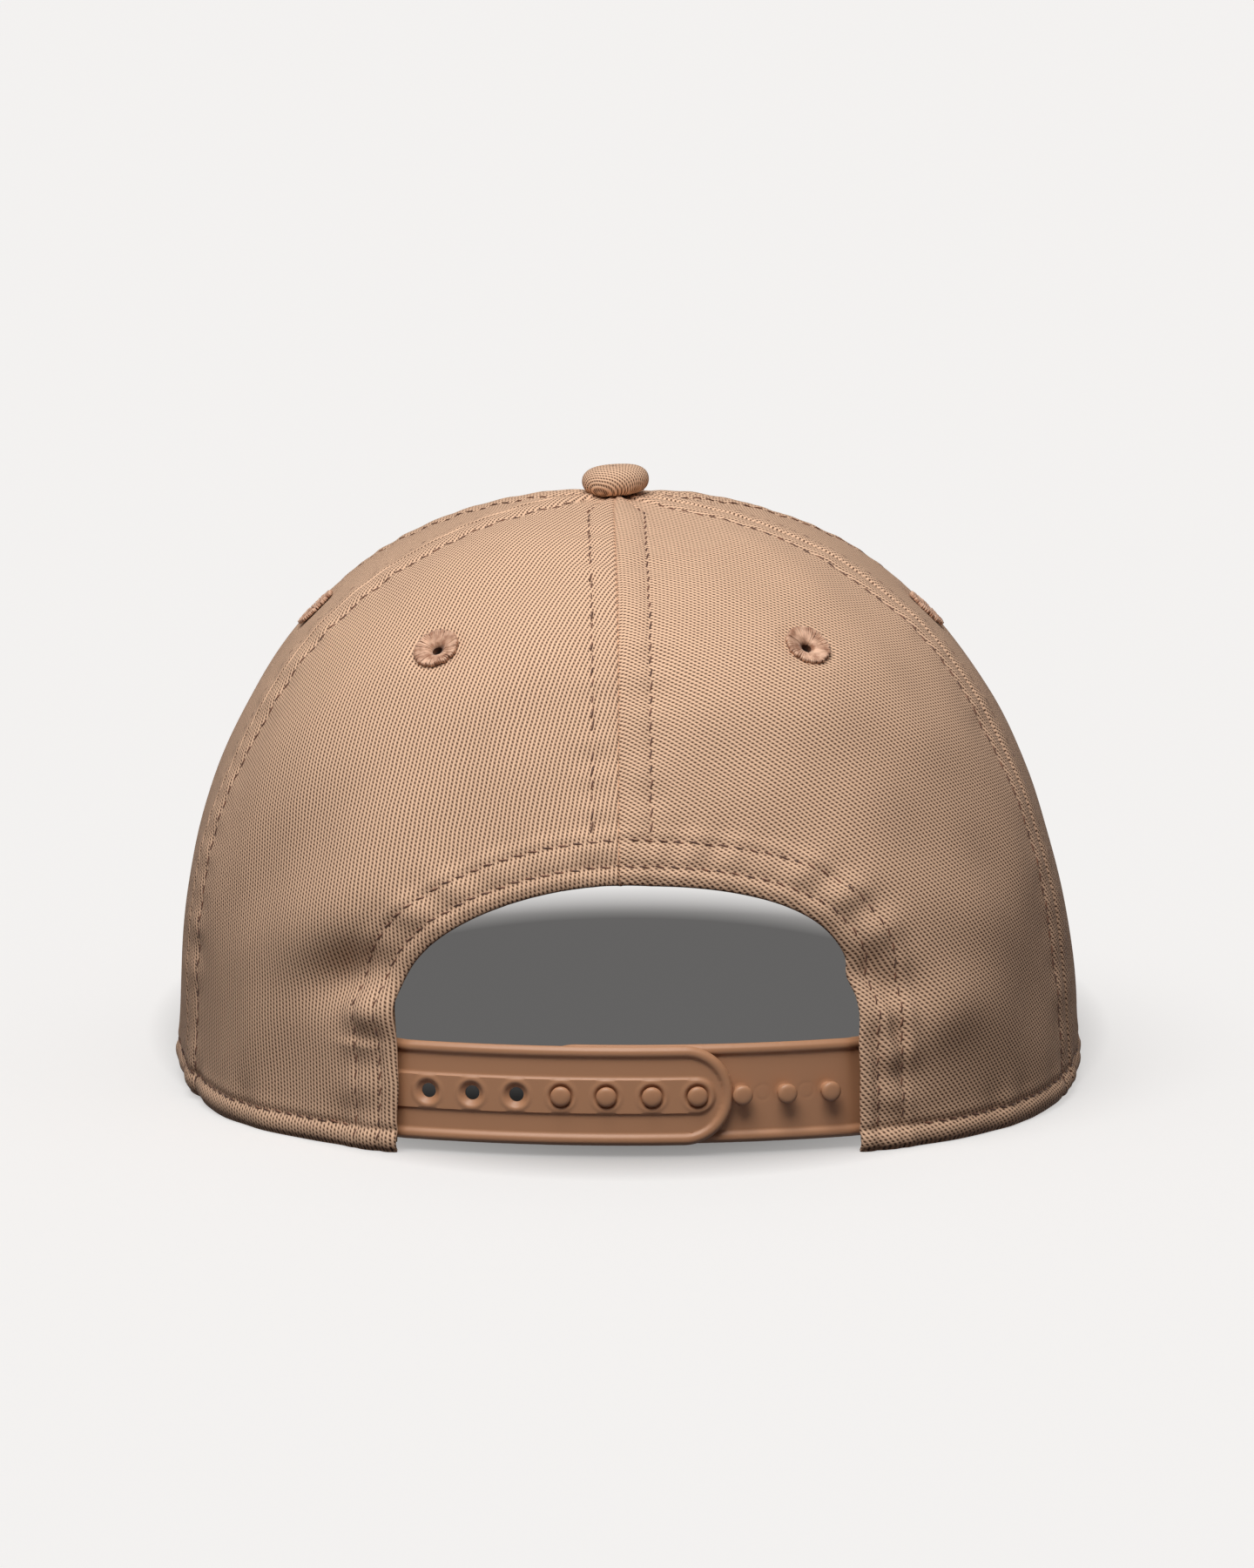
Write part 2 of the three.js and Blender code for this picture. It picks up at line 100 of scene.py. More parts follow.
def linear(code: str) -> Colour:
    """Turns an sRGB colour into linear light.

    Args:
        code: The colour as #RRGGBB.

    Returns:
        Red, green, blue and an alpha of 1.
    """
    parts = [int(code[k : k + 2], 16) / 255 for k in (1, 3, 5)]
    light = [c / 12.92 if c <= 0.04045 else ((c + 0.055) / 1.055) ** 2.4 for c in parts]
    return (*light, 1.0)


def smooth(low: float, high: float, value: Array) -> Array:
    """A smooth step from 0 at low to 1 at high.

    Args:
        low: Where the step starts.
        high: Where it ends.
        value: The numbers to step.

    Returns:
        The steps, from 0 to 1.
    """
    share = np.clip((value - low) / (high - low), 0.0, 1.0)
    return share * share * (3 - 2 * share)


def bell(value: Array, middle: float, width: float) -> Array:
    """A soft bump of height 1 about a middle, falling off over a width."""
    return np.exp(-(((value - middle) / width) ** 2))


def mix(low: Array, high: Array, share: Array) -> Array:
    """The number that lies a share of the way from low to high."""
    return low + (high - low) * share


def ripple(along: Array, length: float, seed: int) -> Array:
    """An uneven wave, as cloth takes along a sewn line.

    Args:
        along: Distance along the line.
        length: The usual distance between two crests.
        seed: Picks the wave.

    Returns:
        Heights, mostly between -1 and 1.
    """
    rng = np.random.default_rng(seed)
    total = np.zeros_like(np.asarray(along, dtype=float))
    for _ in range(4):
        wave = length * rng.uniform(0.7, 1.7)
        total = total + rng.uniform(0.25, 0.5) * np.sin(2 * np.pi * along / wave + rng.uniform(0, 6.3))
    return total


def rolling(points: Array, length: float, seed: int) -> Array:
    """A soft uneven swell through space, for cloth that isn't quite true.

    Args:
        points: Places, in rows of x, y and z.
        length: The usual distance between two crests.
        seed: Picks the swell.

    Returns:
        Heights, mostly between -1 and 1.
    """
    rng = np.random.default_rng(seed)
    total = np.zeros(points.shape[:-1])
    for _ in range(6):
        way = rng.normal(size=3)
        way *= 2 * np.pi / (length * rng.uniform(0.7, 1.6) * np.linalg.norm(way))
        total += rng.uniform(0.2, 0.4) * np.sin(points @ way + rng.uniform(0, 6.3))
    return total


def add_node(
    tree: bpy.types.NodeTree,
    kind: str,
    inputs: dict[int | str, object] | None = None,
    **settings: object,
) -> bpy.types.Node:
    """Adds one node to a material.

    Args:
        tree: The material's node tree.
        kind: The node's type, less its ShaderNode prefix.
        inputs: Socket names or numbers, each with a value or with the output to link to it.
        **settings: Attributes of the node.

    Returns:
        The new node.
    """
    node = tree.nodes.new("ShaderNode" + kind)
    for name, value in settings.items():
        setattr(node, name, value)
    for socket, value in (inputs or {}).items():
        if isinstance(value, bpy.types.NodeSocket):
            tree.links.new(value, node.inputs[socket])
        else:
            node.inputs[socket].default_value = value
    return node


def new_material(name: str, shader: dict[str, object]) -> tuple[bpy.types.Material, bpy.types.Node]:
    """Starts a material.

    Args:
        name: The material's name.
        shader: Values that are the same all over it, by the shader's socket names.

    Returns:
        The material and its Principled shader.
    """
    material = bpy.data.materials.new(name)
    material.use_nodes = True
    principled = material.node_tree.nodes["Principled BSDF"]
    for socket, value in shader.items():
        principled.inputs[socket].default_value = value
    return material, principled


def grid_faces(rows: int, columns: int, closed: bool = False) -> list[tuple[int, int, int, int]]:
    """The faces of a grid of points stored row by row.

    Args:
        rows: How many rows of points.
        columns: How many points in a row.
        closed: Whether each row closes on itself.

    Returns:
        Quads of vertex numbers.
    """
    last = columns if closed else columns - 1
    faces = []
    for j in range(rows - 1):
        for i in range(last):
            k = (i + 1) % columns
            faces.append((j * columns + i, j * columns + k, (j + 1) * columns + k, (j + 1) * columns + i))
    return faces


def make_piece(
    name: str,
    points: Array,
    faces: Sequence[Sequence[int]],
    material: bpy.types.Material,
    uv: Array | None = None,
    sharp: float | None = None,
) -> bpy.types.Object:
    """Makes a mesh object.

    Args:
        name: The piece's name.
        points: Its vertices.
        faces: Its faces, as vertex numbers.
        material: Its finish.
        uv: A place on the cloth for each vertex, in metres.
        sharp: The angle in degrees above which an edge stays sharp, or None to smooth them all.

    Returns:
        The object, linked to the scene.
    """
    mesh = bpy.data.meshes.new(name)
    mesh.from_pydata(np.asarray(points).reshape(-1, 3).tolist(), [], [tuple(f) for f in faces])
    if uv is not None:
        layer = mesh.uv_layers.new(name="Cloth")
        corners = np.empty(len(mesh.loops), dtype=np.int32)
        mesh.loops.foreach_get("vertex_index", corners)
        layer.data.foreach_set("uv", np.asarray(uv, dtype=np.float32).reshape(-1, 2)[corners].ravel())
    mesh.materials.append(material)
    mesh.validate()
    piece = bpy.data.objects.new(name, mesh)
    bpy.context.collection.objects.link(piece)
    finish_shading(piece, sharp)
    return piece


def finish_shading(piece: bpy.types.Object, sharp: float | None) -> None:
    """Smooths a piece's faces.

    Args:
        piece: The piece.
        sharp: The angle in degrees above which an edge stays sharp, or None to smooth them all.
    """
    piece.data.shade_smooth()
    if sharp is not None:
        piece.data.set_sharp_from_angle(angle=math.radians(sharp))


def turn_out(piece: bpy.types.Object) -> None:
    """Turns a closed piece's faces out."""
    work = bmesh.new()
    work.from_mesh(piece.data)
    bmesh.ops.recalc_face_normals(work, faces=work.faces)
    work.to_mesh(piece.data)
    work.free()


def settle(piece: bpy.types.Object) -> None:
    """Applies a piece's modifiers to its mesh."""
    ready = piece.evaluated_get(bpy.context.evaluated_depsgraph_get())
    mesh = bpy.data.meshes.new_from_object(ready)
    old = piece.data
    piece.modifiers.clear()
    piece.data = mesh
    mesh.name = piece.name
    bpy.data.meshes.remove(old)


def thicken(piece: bpy.types.Object, thickness: float, rounding: float, offset: float = -1.0) -> None:
    """Gives a sheet its thickness and rounds its cut edges.

    Args:
        piece: The sheet, with its faces towards the outside.
        thickness: The cloth's thickness.
        rounding: The width of the rounded edge.
        offset: -1 to thicken inwards, 0 to both sides.
    """
    solid = piece.modifiers.new("thickness", "SOLIDIFY")
    solid.thickness = thickness
    solid.offset = offset
    solid.use_even_offset = False
    bevel = piece.modifiers.new("rounding", "BEVEL")
    bevel.width = rounding
    bevel.segments = 2
    bevel.limit_method = "ANGLE"
    bevel.angle_limit = math.radians(50)
    settle(piece)


def join_pieces(name: str, parts: Sequence[bpy.types.Object]) -> bpy.types.Object:
    """Joins meshes, each of one finish, into one piece.

    Args:
        name: The piece's name.
        parts: The meshes, which are used up.

    Returns:
        The piece.
    """
    work = bmesh.new()
    mesh = bpy.data.meshes.new(name)
    for part in parts:
        done = len(work.faces)
        work.from_mesh(part.data)
        finish = part.data.materials[0]
        if finish.name not in mesh.materials:
            mesh.materials.append(finish)
        work.faces.ensure_lookup_table()
        for face in work.faces[done:]:
            face.material_index = mesh.materials.find(finish.name)
    work.to_mesh(mesh)
    work.free()
    piece = bpy.data.objects.new(name, mesh)
    bpy.context.collection.objects.link(piece)
    for part in parts:
        old = part.data
        bpy.data.objects.remove(part)
        bpy.data.meshes.remove(old)
    return piece


def dress(piece: bpy.types.Object, replaced: Sequence[str], body: str = "crown") -> None:
    """Ties a piece to the frame and reports it.

    Args:
        piece: The piece.
        replaced: The CAD nodes that it stands for.
        body: The body that it rides, or an empty string to attach it to none.
    """
    if body:
        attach(piece, body)
    if replaced:
        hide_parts(*replaced)
    LOG.info("%s: %d faces, stands for %s", piece.name, len(piece.data.polygons), ", ".join(replaced) or "-")


# ---- Finishes -------------------------------------------------------------------------------------


@dataclass(frozen=True)
class CottonTwill:
    """Cotton twill, woven in steep ribs and piece-dyed tan.

    It gives the eye fine rope-like ribs with furrows between them, darkened with painted shade, a dry matt face,
    and a little unevenness in the dye.
    """

    name: str = "cotton_twill_piece_dyed"
    rib: str = "#EDC7A9"
    furrow_painted_shade: str = "#3E2012"
    rib_pitch: float = 0.82 * MM
    float_length: float = 0.78 * MM
    depth: float = 0.14 * MM
    map_name: str = "Cloth"

    def material(self) -> bpy.types.Material:
        """Builds the finish.

        Returns:
            The material, which reads the place on the cloth from the piece's map.
        """
        made, shader = new_material(
            self.name,
            {"Roughness": 0.84, "IOR": 1.5, "Specular IOR Level": 0.12, "Sheen Weight": 0.03, "Sheen Roughness": 0.4},
        )
        tree = made.node_tree
        place = add_node(tree, "UVMap", uv_map=self.map_name).outputs["UV"]
        wander = add_node(tree, "TexNoise", {"Vector": place, "Scale": 1 / (9 * MM), "Detail": 2.0})
        drift = add_node(
            tree, "Math", {0: wander.outputs["Fac"], 1: 0.9}, operation="MULTIPLY"
        ).outputs[0]
        axes = add_node(tree, "SeparateXYZ", {0: place})
        across = add_node(tree, "Math", {0: axes.outputs["Y"], 1: 1 / self.rib_pitch}, operation="MULTIPLY").outputs[0]
        phase = add_node(tree, "Math", {0: across, 1: drift}, operation="ADD").outputs[0]
        turn = add_node(tree, "Math", {0: phase, 1: 2 * math.pi}, operation="MULTIPLY").outputs[0]
        wave = add_node(tree, "Math", {0: turn}, operation="COSINE").outputs[0]
        rib = add_node(
            tree, "MapRange", {"Value": wave, "From Min": -0.95, "From Max": 0.9}, interpolation_type="SMOOTHSTEP"
        ).outputs["Result"]
        along = add_node(tree, "Math", {0: axes.outputs["X"], 1: 1 / self.float_length}, operation="MULTIPLY").outputs[0]
        lean = add_node(tree, "Math", {0: phase, 1: 0.62, 2: along}, operation="MULTIPLY_ADD").outputs[0]
        lean_turn = add_node(tree, "Math", {0: lean, 1: 2 * math.pi}, operation="MULTIPLY").outputs[0]
        floats = add_node(tree, "Math", {0: lean_turn}, operation="COSINE").outputs[0]
        gap = add_node(tree, "Math", {0: floats, 1: 0.36, 2: 0.64}, operation="MULTIPLY_ADD").outputs[0]
        valley = add_node(tree, "Math", {0: 1.0, 1: rib}, operation="SUBTRACT").outputs[0]
        dot = add_node(tree, "Math", {0: valley, 1: gap}, operation="MULTIPLY").outputs[0]
        height = add_node(tree, "Math", {0: 1.0, 1: dot}, operation="SUBTRACT").outputs[0]
        fuzz = add_node(tree, "TexNoise", {"Vector": place, "Scale": 1 / (0.35 * MM), "Detail": 3.0})
        dye = add_node(tree, "TexNoise", {"Vector": place, "Scale": 1 / (26 * MM), "Detail": 3.0})
        # The furrows take the dark furrow colour: painted shade in the hollows between the ribs.
        body = add_node(
            tree,
            "MixRGB",
            {"Fac": height, "Color1": linear(self.furrow_painted_shade), "Color2": linear(self.rib)},
        ).outputs["Color"]
        tone = add_node(
            tree, "MapRange", {"Value": dye.outputs["Fac"], "To Min": 0.93, "To Max": 1.07}
        ).outputs["Result"]
        speck = add_node(
            tree, "MapRange", {"Value": fuzz.outputs["Fac"], "From Min": 0.3, "From Max": 0.7, "To Min": 0.88, "To Max": 1.1}
        ).outputs["Result"]
        shade = add_node(tree, "Math", {0: tone, 1: speck}, operation="MULTIPLY").outputs[0]
        colour = add_node(tree, "VectorMath", {0: body, "Scale": shade}, operation="SCALE").outputs["Vector"]
        tree.links.new(colour, shader.inputs["Base Color"])
        relief = add_node(tree, "Math", {0: fuzz.outputs["Fac"], 1: 0.15, 2: height}, operation="MULTIPLY_ADD").outputs[0]
        bump = add_node(tree, "Bump", {"Height": relief, "Strength": 0.8, "Distance": self.depth})
        tree.links.new(bump.outputs["Normal"], shader.inputs["Normal"])
        return made


@dataclass(frozen=True)
class SewingThread:
    """Spun polyester sewing thread, twisted and dyed: thin, darker than the cloth, with a slight shine."""

    name: str
    colour: str
    deep: str

    def material(self) -> bpy.types.Material:
        """Builds the finish.

        Returns:
            The material.
        """
        made, shader = new_material(self.name, {"Roughness": 0.55, "IOR": 1.53, "Sheen Weight": 0.15})
        tree = made.node_tree
        place = add_node(tree, "TexCoord").outputs["Object"]
        uneven = add_node(tree, "TexNoise", {"Vector": place, "Scale": 1 / (1.6 * MM), "Detail": 2.0})
        share = add_node(
            tree, "MapRange", {"Value": uneven.outputs["Fac"], "From Min": 0.35, "From Max": 0.65}
        ).outputs["Result"]
        colour = add_node(
            tree, "MixRGB", {"Fac": share, "Color1": linear(self.deep), "Color2": linear(self.colour)}
        ).outputs["Color"]
        tree.links.new(colour, shader.inputs["Base Color"])
        plies = add_node(tree, "TexNoise", {"Vector": place, "Scale": 1 / (0.3 * MM), "Detail": 1.0})
        bump = add_node(tree, "Bump", {"Height": plies.outputs["Fac"], "Strength": 0.4, "Distance": 0.06 * MM})
        tree.links.new(bump.outputs["Normal"], shader.inputs["Normal"])
        return made


@dataclass(frozen=True)
class MouldedPlastic:
    """Polyethylene, injection moulded in a satin tool: soft highlights and a very faint grain."""

    name: str
    colour: str
    roughness: float = 0.42
    mottle: float = 0.03

    def material(self) -> bpy.types.Material:
        """Builds the finish.

        Returns:
            The material.
        """
        made, shader = new_material(self.name, {"IOR": 1.51, "Specular IOR Level": 0.45})
        tree = made.node_tree
        place = add_node(tree, "TexCoord").outputs["Object"]
        flow = add_node(tree, "TexNoise", {"Vector": place, "Scale": 1 / (14 * MM), "Detail": 3.0})
        tone = add_node(
            tree,
            "MapRange",
            {"Value": flow.outputs["Fac"], "To Min": 1 - self.mottle, "To Max": 1 + self.mottle},
        ).outputs["Result"]
        colour = add_node(tree, "VectorMath", {0: linear(self.colour)[:3], "Scale": tone}, operation="SCALE")
        tree.links.new(colour.outputs["Vector"], shader.inputs["Base Color"])
        grain = add_node(tree, "TexNoise", {"Vector": place, "Scale": 1 / (0.5 * MM), "Detail": 2.0})
        rough = add_node(
            tree,
            "MapRange",
            {"Value": grain.outputs["Fac"], "To Min": self.roughness - 0.05, "To Max": self.roughness + 0.07},
        ).outputs["Result"]
        tree.links.new(rough, shader.inputs["Roughness"])
        bump = add_node(tree, "Bump", {"Height": grain.outputs["Fac"], "Strength": 0.12, "Distance": 0.05 * MM})
        tree.links.new(bump.outputs["Normal"], shader.inputs["Normal"])
        return made


@dataclass(frozen=True)
class PlainWeave:
    """A plain-woven cloth, such as seam tape, buckram or a label: a square grid of warp and weft.

    The yarns are drawn a little coarser than they are, because the real ones are too fine to show. The gaps between
    them are darkened with painted shade.
    """

    name: str
    colour: str
    gap_painted_shade_colour: str
    yarn_pitch: float
    depth: float = 0.12 * MM
    roughness: float = 0.85
    sheen: float = 0.1

    def material(self) -> bpy.types.Material:
        """Builds the finish.

        Returns:
            The material, which reads the place on the cloth from the piece's map.
        """
        made, shader = new_material(
            self.name, {"Roughness": self.roughness, "IOR": 1.5, "Specular IOR Level": 0.25, "Sheen Weight": self.sheen}
        )
        tree = made.node_tree
        place = add_node(tree, "UVMap", uv_map="Cloth").outputs["UV"]
        axes = add_node(tree, "SeparateXYZ", {0: place})
        waves = []
        for axis in ("X", "Y"):
            turn = add_node(
                tree, "Math", {0: axes.outputs[axis], 1: 2 * math.pi / self.yarn_pitch}, operation="MULTIPLY"
            ).outputs[0]
            waves.append(add_node(tree, "Math", {0: turn}, operation="COSINE").outputs[0])
        crossing = add_node(tree, "Math", {0: waves[0], 1: waves[1]}, operation="ADD").outputs[0]
        height = add_node(
            tree, "MapRange", {"Value": crossing, "From Min": -2.0, "From Max": 0.8}
        ).outputs["Result"]
        # The gaps between the yarns take the darker gap colour: painted shade.
        colour = add_node(
            tree, "MixRGB", {"Fac": height, "Color1": linear(self.gap_painted_shade_colour), "Color2": linear(self.colour)}
        ).outputs["Color"]
        tree.links.new(colour, shader.inputs["Base Color"])
        bump = add_node(tree, "Bump", {"Height": height, "Strength": 0.7, "Distance": self.depth})
        tree.links.new(bump.outputs["Normal"], shader.inputs["Normal"])
        return made


@dataclass(frozen=True)
class PlatedSteel:
    """Thin steel, pressed and nickel plated: bright, with faint drawing marks."""

    name: str = "nickel_plated_steel_pressed"
    colour: str = "#B9B6AE"

    def material(self) -> bpy.types.Material:
        """Builds the finish.

        Returns:
            The material.
        """
        made, shader = new_material(self.name, {"Metallic": 1.0, "Base Color": linear(self.colour)})
        tree = made.node_tree
        place = add_node(tree, "TexCoord").outputs["Object"]
        marks = add_node(tree, "TexNoise", {"Vector": place, "Scale": 1 / (0.8 * MM), "Detail": 4.0})
        rough = add_node(
            tree, "MapRange", {"Value": marks.outputs["Fac"], "To Min": 0.22, "To Max": 0.42}
        ).outputs["Result"]
        tree.links.new(rough, shader.inputs["Roughness"])
        return made


@dataclass
class Finishes:
    """Every finish on the cap, made once."""

    twill: bpy.types.Material = field(init=False)
    stitch: bpy.types.Material = field(init=False)
    eyelet: bpy.types.Material = field(init=False)
    strap: bpy.types.Material = field(init=False)
    board: bpy.types.Material = field(init=False)
    tape: bpy.types.Material = field(init=False)
    buckram: bpy.types.Material = field(init=False)
    label: bpy.types.Material = field(init=False)
    steel: bpy.types.Material = field(init=False)
    sweatband: bpy.types.Material = field(init=False)

    def __post_init__(self) -> None:
        """Builds the materials."""
        self.twill = CottonTwill().material()
        self.stitch = SewingThread("polyester_sewing_thread_spun", "#7C5039", "#4E2F20").material()
        self.eyelet = SewingThread("polyester_embroidery_thread", "#E4BDA2", "#A77A60").material()
        self.strap = MouldedPlastic("polyethylene_strap_moulded", "#BB8A68").material()
        self.board = MouldedPlastic("polyethylene_board_moulded", "#E4E1DA", 0.5).material()
        self.tape = PlainWeave("cotton_seam_tape_plain_woven", "#B28C6A", "#6E4E36", 0.9 * MM).material()
        self.buckram = PlainWeave("cotton_buckram_stiffened", "#E9E6DE", "#A7A297", 1.3 * MM).material()
        self.label = PlainWeave("polyester_label_satin_woven", "#EEEAE0", "#C9C4B6", 0.7 * MM).material()
        self.steel = PlatedSteel().material()
        self.sweatband = CottonTwill("cotton_twill_bleached", "#EDEAE3", "#ABA69B").material()


# ---- Patterns and slabs ---------------------------------------------------------------------------


@dataclass
class Pattern:
    """Faces laid out over two parameters, which can be cut and then laid on a surface."""

    places: Array
    faces: list[tuple[int, ...]]

    @classmethod
    def from_rows(cls, rows: Array) -> "Pattern":
        """Makes a pattern from a grid.

        Args:
            rows: Parameters, as rows by columns by 2.

        Returns:
            The pattern.
        """
        return cls(rows.reshape(-1, 2), grid_faces(rows.shape[0], rows.shape[1]))

    def cut(self, kept: Callable[[Array], Array], least: float) -> None:
        """Cuts away a part along a smooth line.

        Args:
            kept: Gives each place a number that is below 0 in the part to remove.
            least: The shortest edge that is left, in the parameters' unit.
        """
        work = bmesh.new()
        verts = [work.verts.new((*place, 0.0)) for place in self.places.tolist()]
        for face in self.faces:
            work.faces.new([verts[k] for k in face])
        work.verts.index_update()
        value = kept(self.places)
        crossing = [e for e in work.edges if value[e.verts[0].index] * value[e.verts[1].index] < 0]
        if crossing:
            ends = np.array([[v.index for v in e.verts] for e in crossing])
            low, high = self.places[ends[:, 0]], self.places[ends[:, 1]]
            near, far = value[ends[:, 0]], value[ends[:, 1]]
            share = near / (near - far)
            middle = kept(low + (high - low) * share[:, None])
            before = np.sign(middle) != np.sign(near)
            share = np.where(before, share * near / (near - middle), share + (1 - share) * middle / (middle - far))
            line = set()
            for edge, start, part in zip(crossing, ends[:, 0], np.clip(share, 0.02, 0.98)):
                first = edge.verts[0] if edge.verts[0].index == start else edge.verts[1]
                _, added = bmesh.utils.edge_split(edge, first, float(part))
                line.add(added)
            for face in list(work.faces):
                on_line = [v for v in face.verts if v in line]
                if len(on_line) == 2:
                    bmesh.utils.face_split(face, on_line[0], on_line[1])
            middles = np.array([f.calc_center_median()[:2] for f in work.faces])
            gone = kept(middles) < 0
            bmesh.ops.delete(work, geom=[f for f, g in zip(list(work.faces), gone) if g], context="FACES")
        bmesh.ops.remove_doubles(work, verts=work.verts, dist=least)
        work.verts.index_update()
        self.places = np.array([v.co[:2] for v in work.verts])
        self.faces = [tuple(v.index for v in f.verts) for f in work.faces]
        work.free()

    def rim(self) -> Array:
        """Finds the pattern's edges.

        Returns:
            Pairs of vertex numbers, each in the order of its one face.
        """
        used = {(a, b) for face in self.faces for a, b in zip(face, face[1:] + face[:1])}
        return np.array([(a, b) for a, b in used if (b, a) not in used])


def unit(vectors: Array) -> Array:
    """Vectors of length 1."""
    return vectors / np.maximum(np.linalg.norm(vectors, axis=-1, keepdims=True), 1e-12)


def cloth_area(points: Array, faces: Sequence[Sequence[int]]) -> float:
    """Measures a sheet.

    Args:
        points: Its vertices.
        faces: Its faces.

    Returns:
        The area.
    """
    total = 0.0
    for size in {len(f) for f in faces}:
        ring = points[np.array([f for f in faces if len(f) == size])]
        for k in range(1, size - 1):
            arms = np.cross(ring[:, k] - ring[:, 0], ring[:, k + 1] - ring[:, 0])
            total += 0.5 * float(np.linalg.norm(arms, axis=-1).sum())
    return total


def slab(
    name: str,
    pattern: Pattern,
    front: Array,
    back: Array,
    material: bpy.types.Material,
    uv: Array,
    bulge: float = 0.5,
    steps: int = 4,
) -> bpy.types.Object:
    """Makes a closed sheet with a rounded edge.

    Args:
        name: The piece's name.
        pattern: The sheet's faces.
        front: The outer place of each of the pattern's points.
        back: The inner place of each.
        material: The finish.
        uv: The place on the flat cloth of each, in metres.
        bulge: How far the edge bulges, as a share of the thickness.
        steps: The edge's facets.

    Returns:
        The piece.
    """
    faces = pattern.faces
    sample = np.array([f[:3] for f in faces])
    normals = np.cross(front[sample[:, 1]] - front[sample[:, 0]], front[sample[:, 2]] - front[sample[:, 0]])
    outwards = np.einsum("ij,ij->", normals, (front - back)[sample[:, 0]])
    rim = pattern.rim()
    if outwards < 0:
        faces = [f[::-1] for f in faces]
        rim = rim[:, ::-1]
        sample = sample[:, ::-1]
    count = len(front)
    middle = (front + back) / 2
    through = unit(front - back)
    run = front[rim[:, 1]] - front[rim[:, 0]]
    aside = np.zeros_like(front)
    edge_out = unit(np.cross(run, through[rim[:, 0]]))
    np.add.at(aside, rim[:, 0], edge_out)
    np.add.at(aside, rim[:, 1], edge_out)
    arms = uv[sample[:, 1]] - uv[sample[:, 0]], uv[sample[:, 2]] - uv[sample[:, 0]]
    turn = np.sign(np.sum(arms[0][:, 0] * arms[1][:, 1] - arms[0][:, 1] * arms[1][:, 0]))
    flat_run = uv[rim[:, 1]] - uv[rim[:, 0]]
    flat_out = unit(np.stack([flat_run[:, 1], -flat_run[:, 0]], -1)) * turn
    flat_aside = np.zeros_like(uv)
    np.add.at(flat_aside, rim[:, 0], flat_out)
    np.add.at(flat_aside, rim[:, 1], flat_out)
    edge = np.unique(rim)
    number = np.full(count, -1)
    number[edge] = np.arange(len(edge))
    aside, flat_aside = unit(aside[edge]), unit(flat_aside[edge])
    thickness = np.linalg.norm(front[edge] - back[edge], axis=-1, keepdims=True)
    points, flats = [front, back], [uv, uv]
    for k in range(1, steps):
        angle = math.pi * k / steps
        bulged = (front - middle)[edge] * math.cos(angle) + aside * thickness * bulge * math.sin(angle)
        points.append(middle[edge] + bulged)
        flats.append(uv[edge] + flat_aside * thickness * 0.5 * angle)
    made = list(faces) + [tuple(v + count for v in f[::-1]) for f in faces]
    for a, b in rim.tolist():
        column_a = [a] + [2 * count + k * len(edge) + int(number[a]) for k in range(steps - 1)] + [a + count]
        column_b = [b] + [2 * count + k * len(edge) + int(number[b]) for k in range(steps - 1)] + [b + count]
        for k in range(steps):
            made.append((column_b[k], column_a[k], column_a[k + 1], column_b[k + 1]))
    return make_piece(name, np.concatenate(points), made, material, np.concatenate(flats))


def tubes(
    name: str,
    lines: Array,
    ups: Array,
    radii: Array,
    material: bpy.types.Material,
    sides: int = 6,
    flatness: float = 0.85,
) -> bpy.types.Object:
    """Makes many short threads at once.

    Args:
        name: The piece's name.
        lines: The threads' middle lines, as threads by points by 3.
        ups: The way up at each point, the same shape.
        radii: The radius at each point of a thread.
        material: The finish.
        sides: How many sides a thread has.
        flatness: A thread's height as a share of its width.

    Returns:
        The piece.
    """
    threads, points = lines.shape[:2]
    along = unit(np.gradient(lines, axis=1))
    across = unit(np.cross(along, ups))
    rise = np.cross(across, along)
    turns = np.arange(sides) * 2 * math.pi / sides
    width = np.asarray(radii).reshape(1, -1, 1, 1) if np.ndim(radii) == 1 else np.asarray(radii)[:, :, None, None]
    rings = (
        lines[:, :, None]
        + across[:, :, None] * np.cos(turns)[:, None] * width
        + rise[:, :, None] * np.sin(turns)[:, None] * width * flatness
    )
    one = grid_faces(points, sides, closed=True)
    one.append(tuple(range(sides))[::-1])
    one.append(tuple(range((points - 1) * sides, points * sides)))
    faces = [tuple(v + k * points * sides for v in f) for k in range(threads) for f in one]
    return make_piece(name, rings.reshape(-1, 3), faces, material)


def spin(
    profile: Sequence[tuple[float, float]],
    place: Array,
    axis: Array,
    segments: int,
) -> tuple[Array, list[tuple[int, ...]]]:
    """Turns a profile round an axis.

    Args:
        profile: Radius and height pairs, from the axis at one end to the axis at the other.
        place: The origin of the profile.
        axis: The way that its heights are measured.
        segments: How many steps round.

    Returns:
        The points and the faces.
    """
    turn = np.array(Vector((0, 0, 1)).rotation_difference(Vector(axis)).to_matrix())
    rows = []
    angles = np.arange(segments) * 2 * math.pi / segments
    for radius, height in profile:
        rows.append(np.stack([radius * np.cos(angles), radius * np.sin(angles), np.full(segments, height)], -1))
    points = np.concatenate(rows) @ turn.T + np.asarray(place)
    faces = grid_faces(len(profile), segments, closed=True)
    return points, faces


# ---- The crown's shape ----------------------------------------------------------------------------


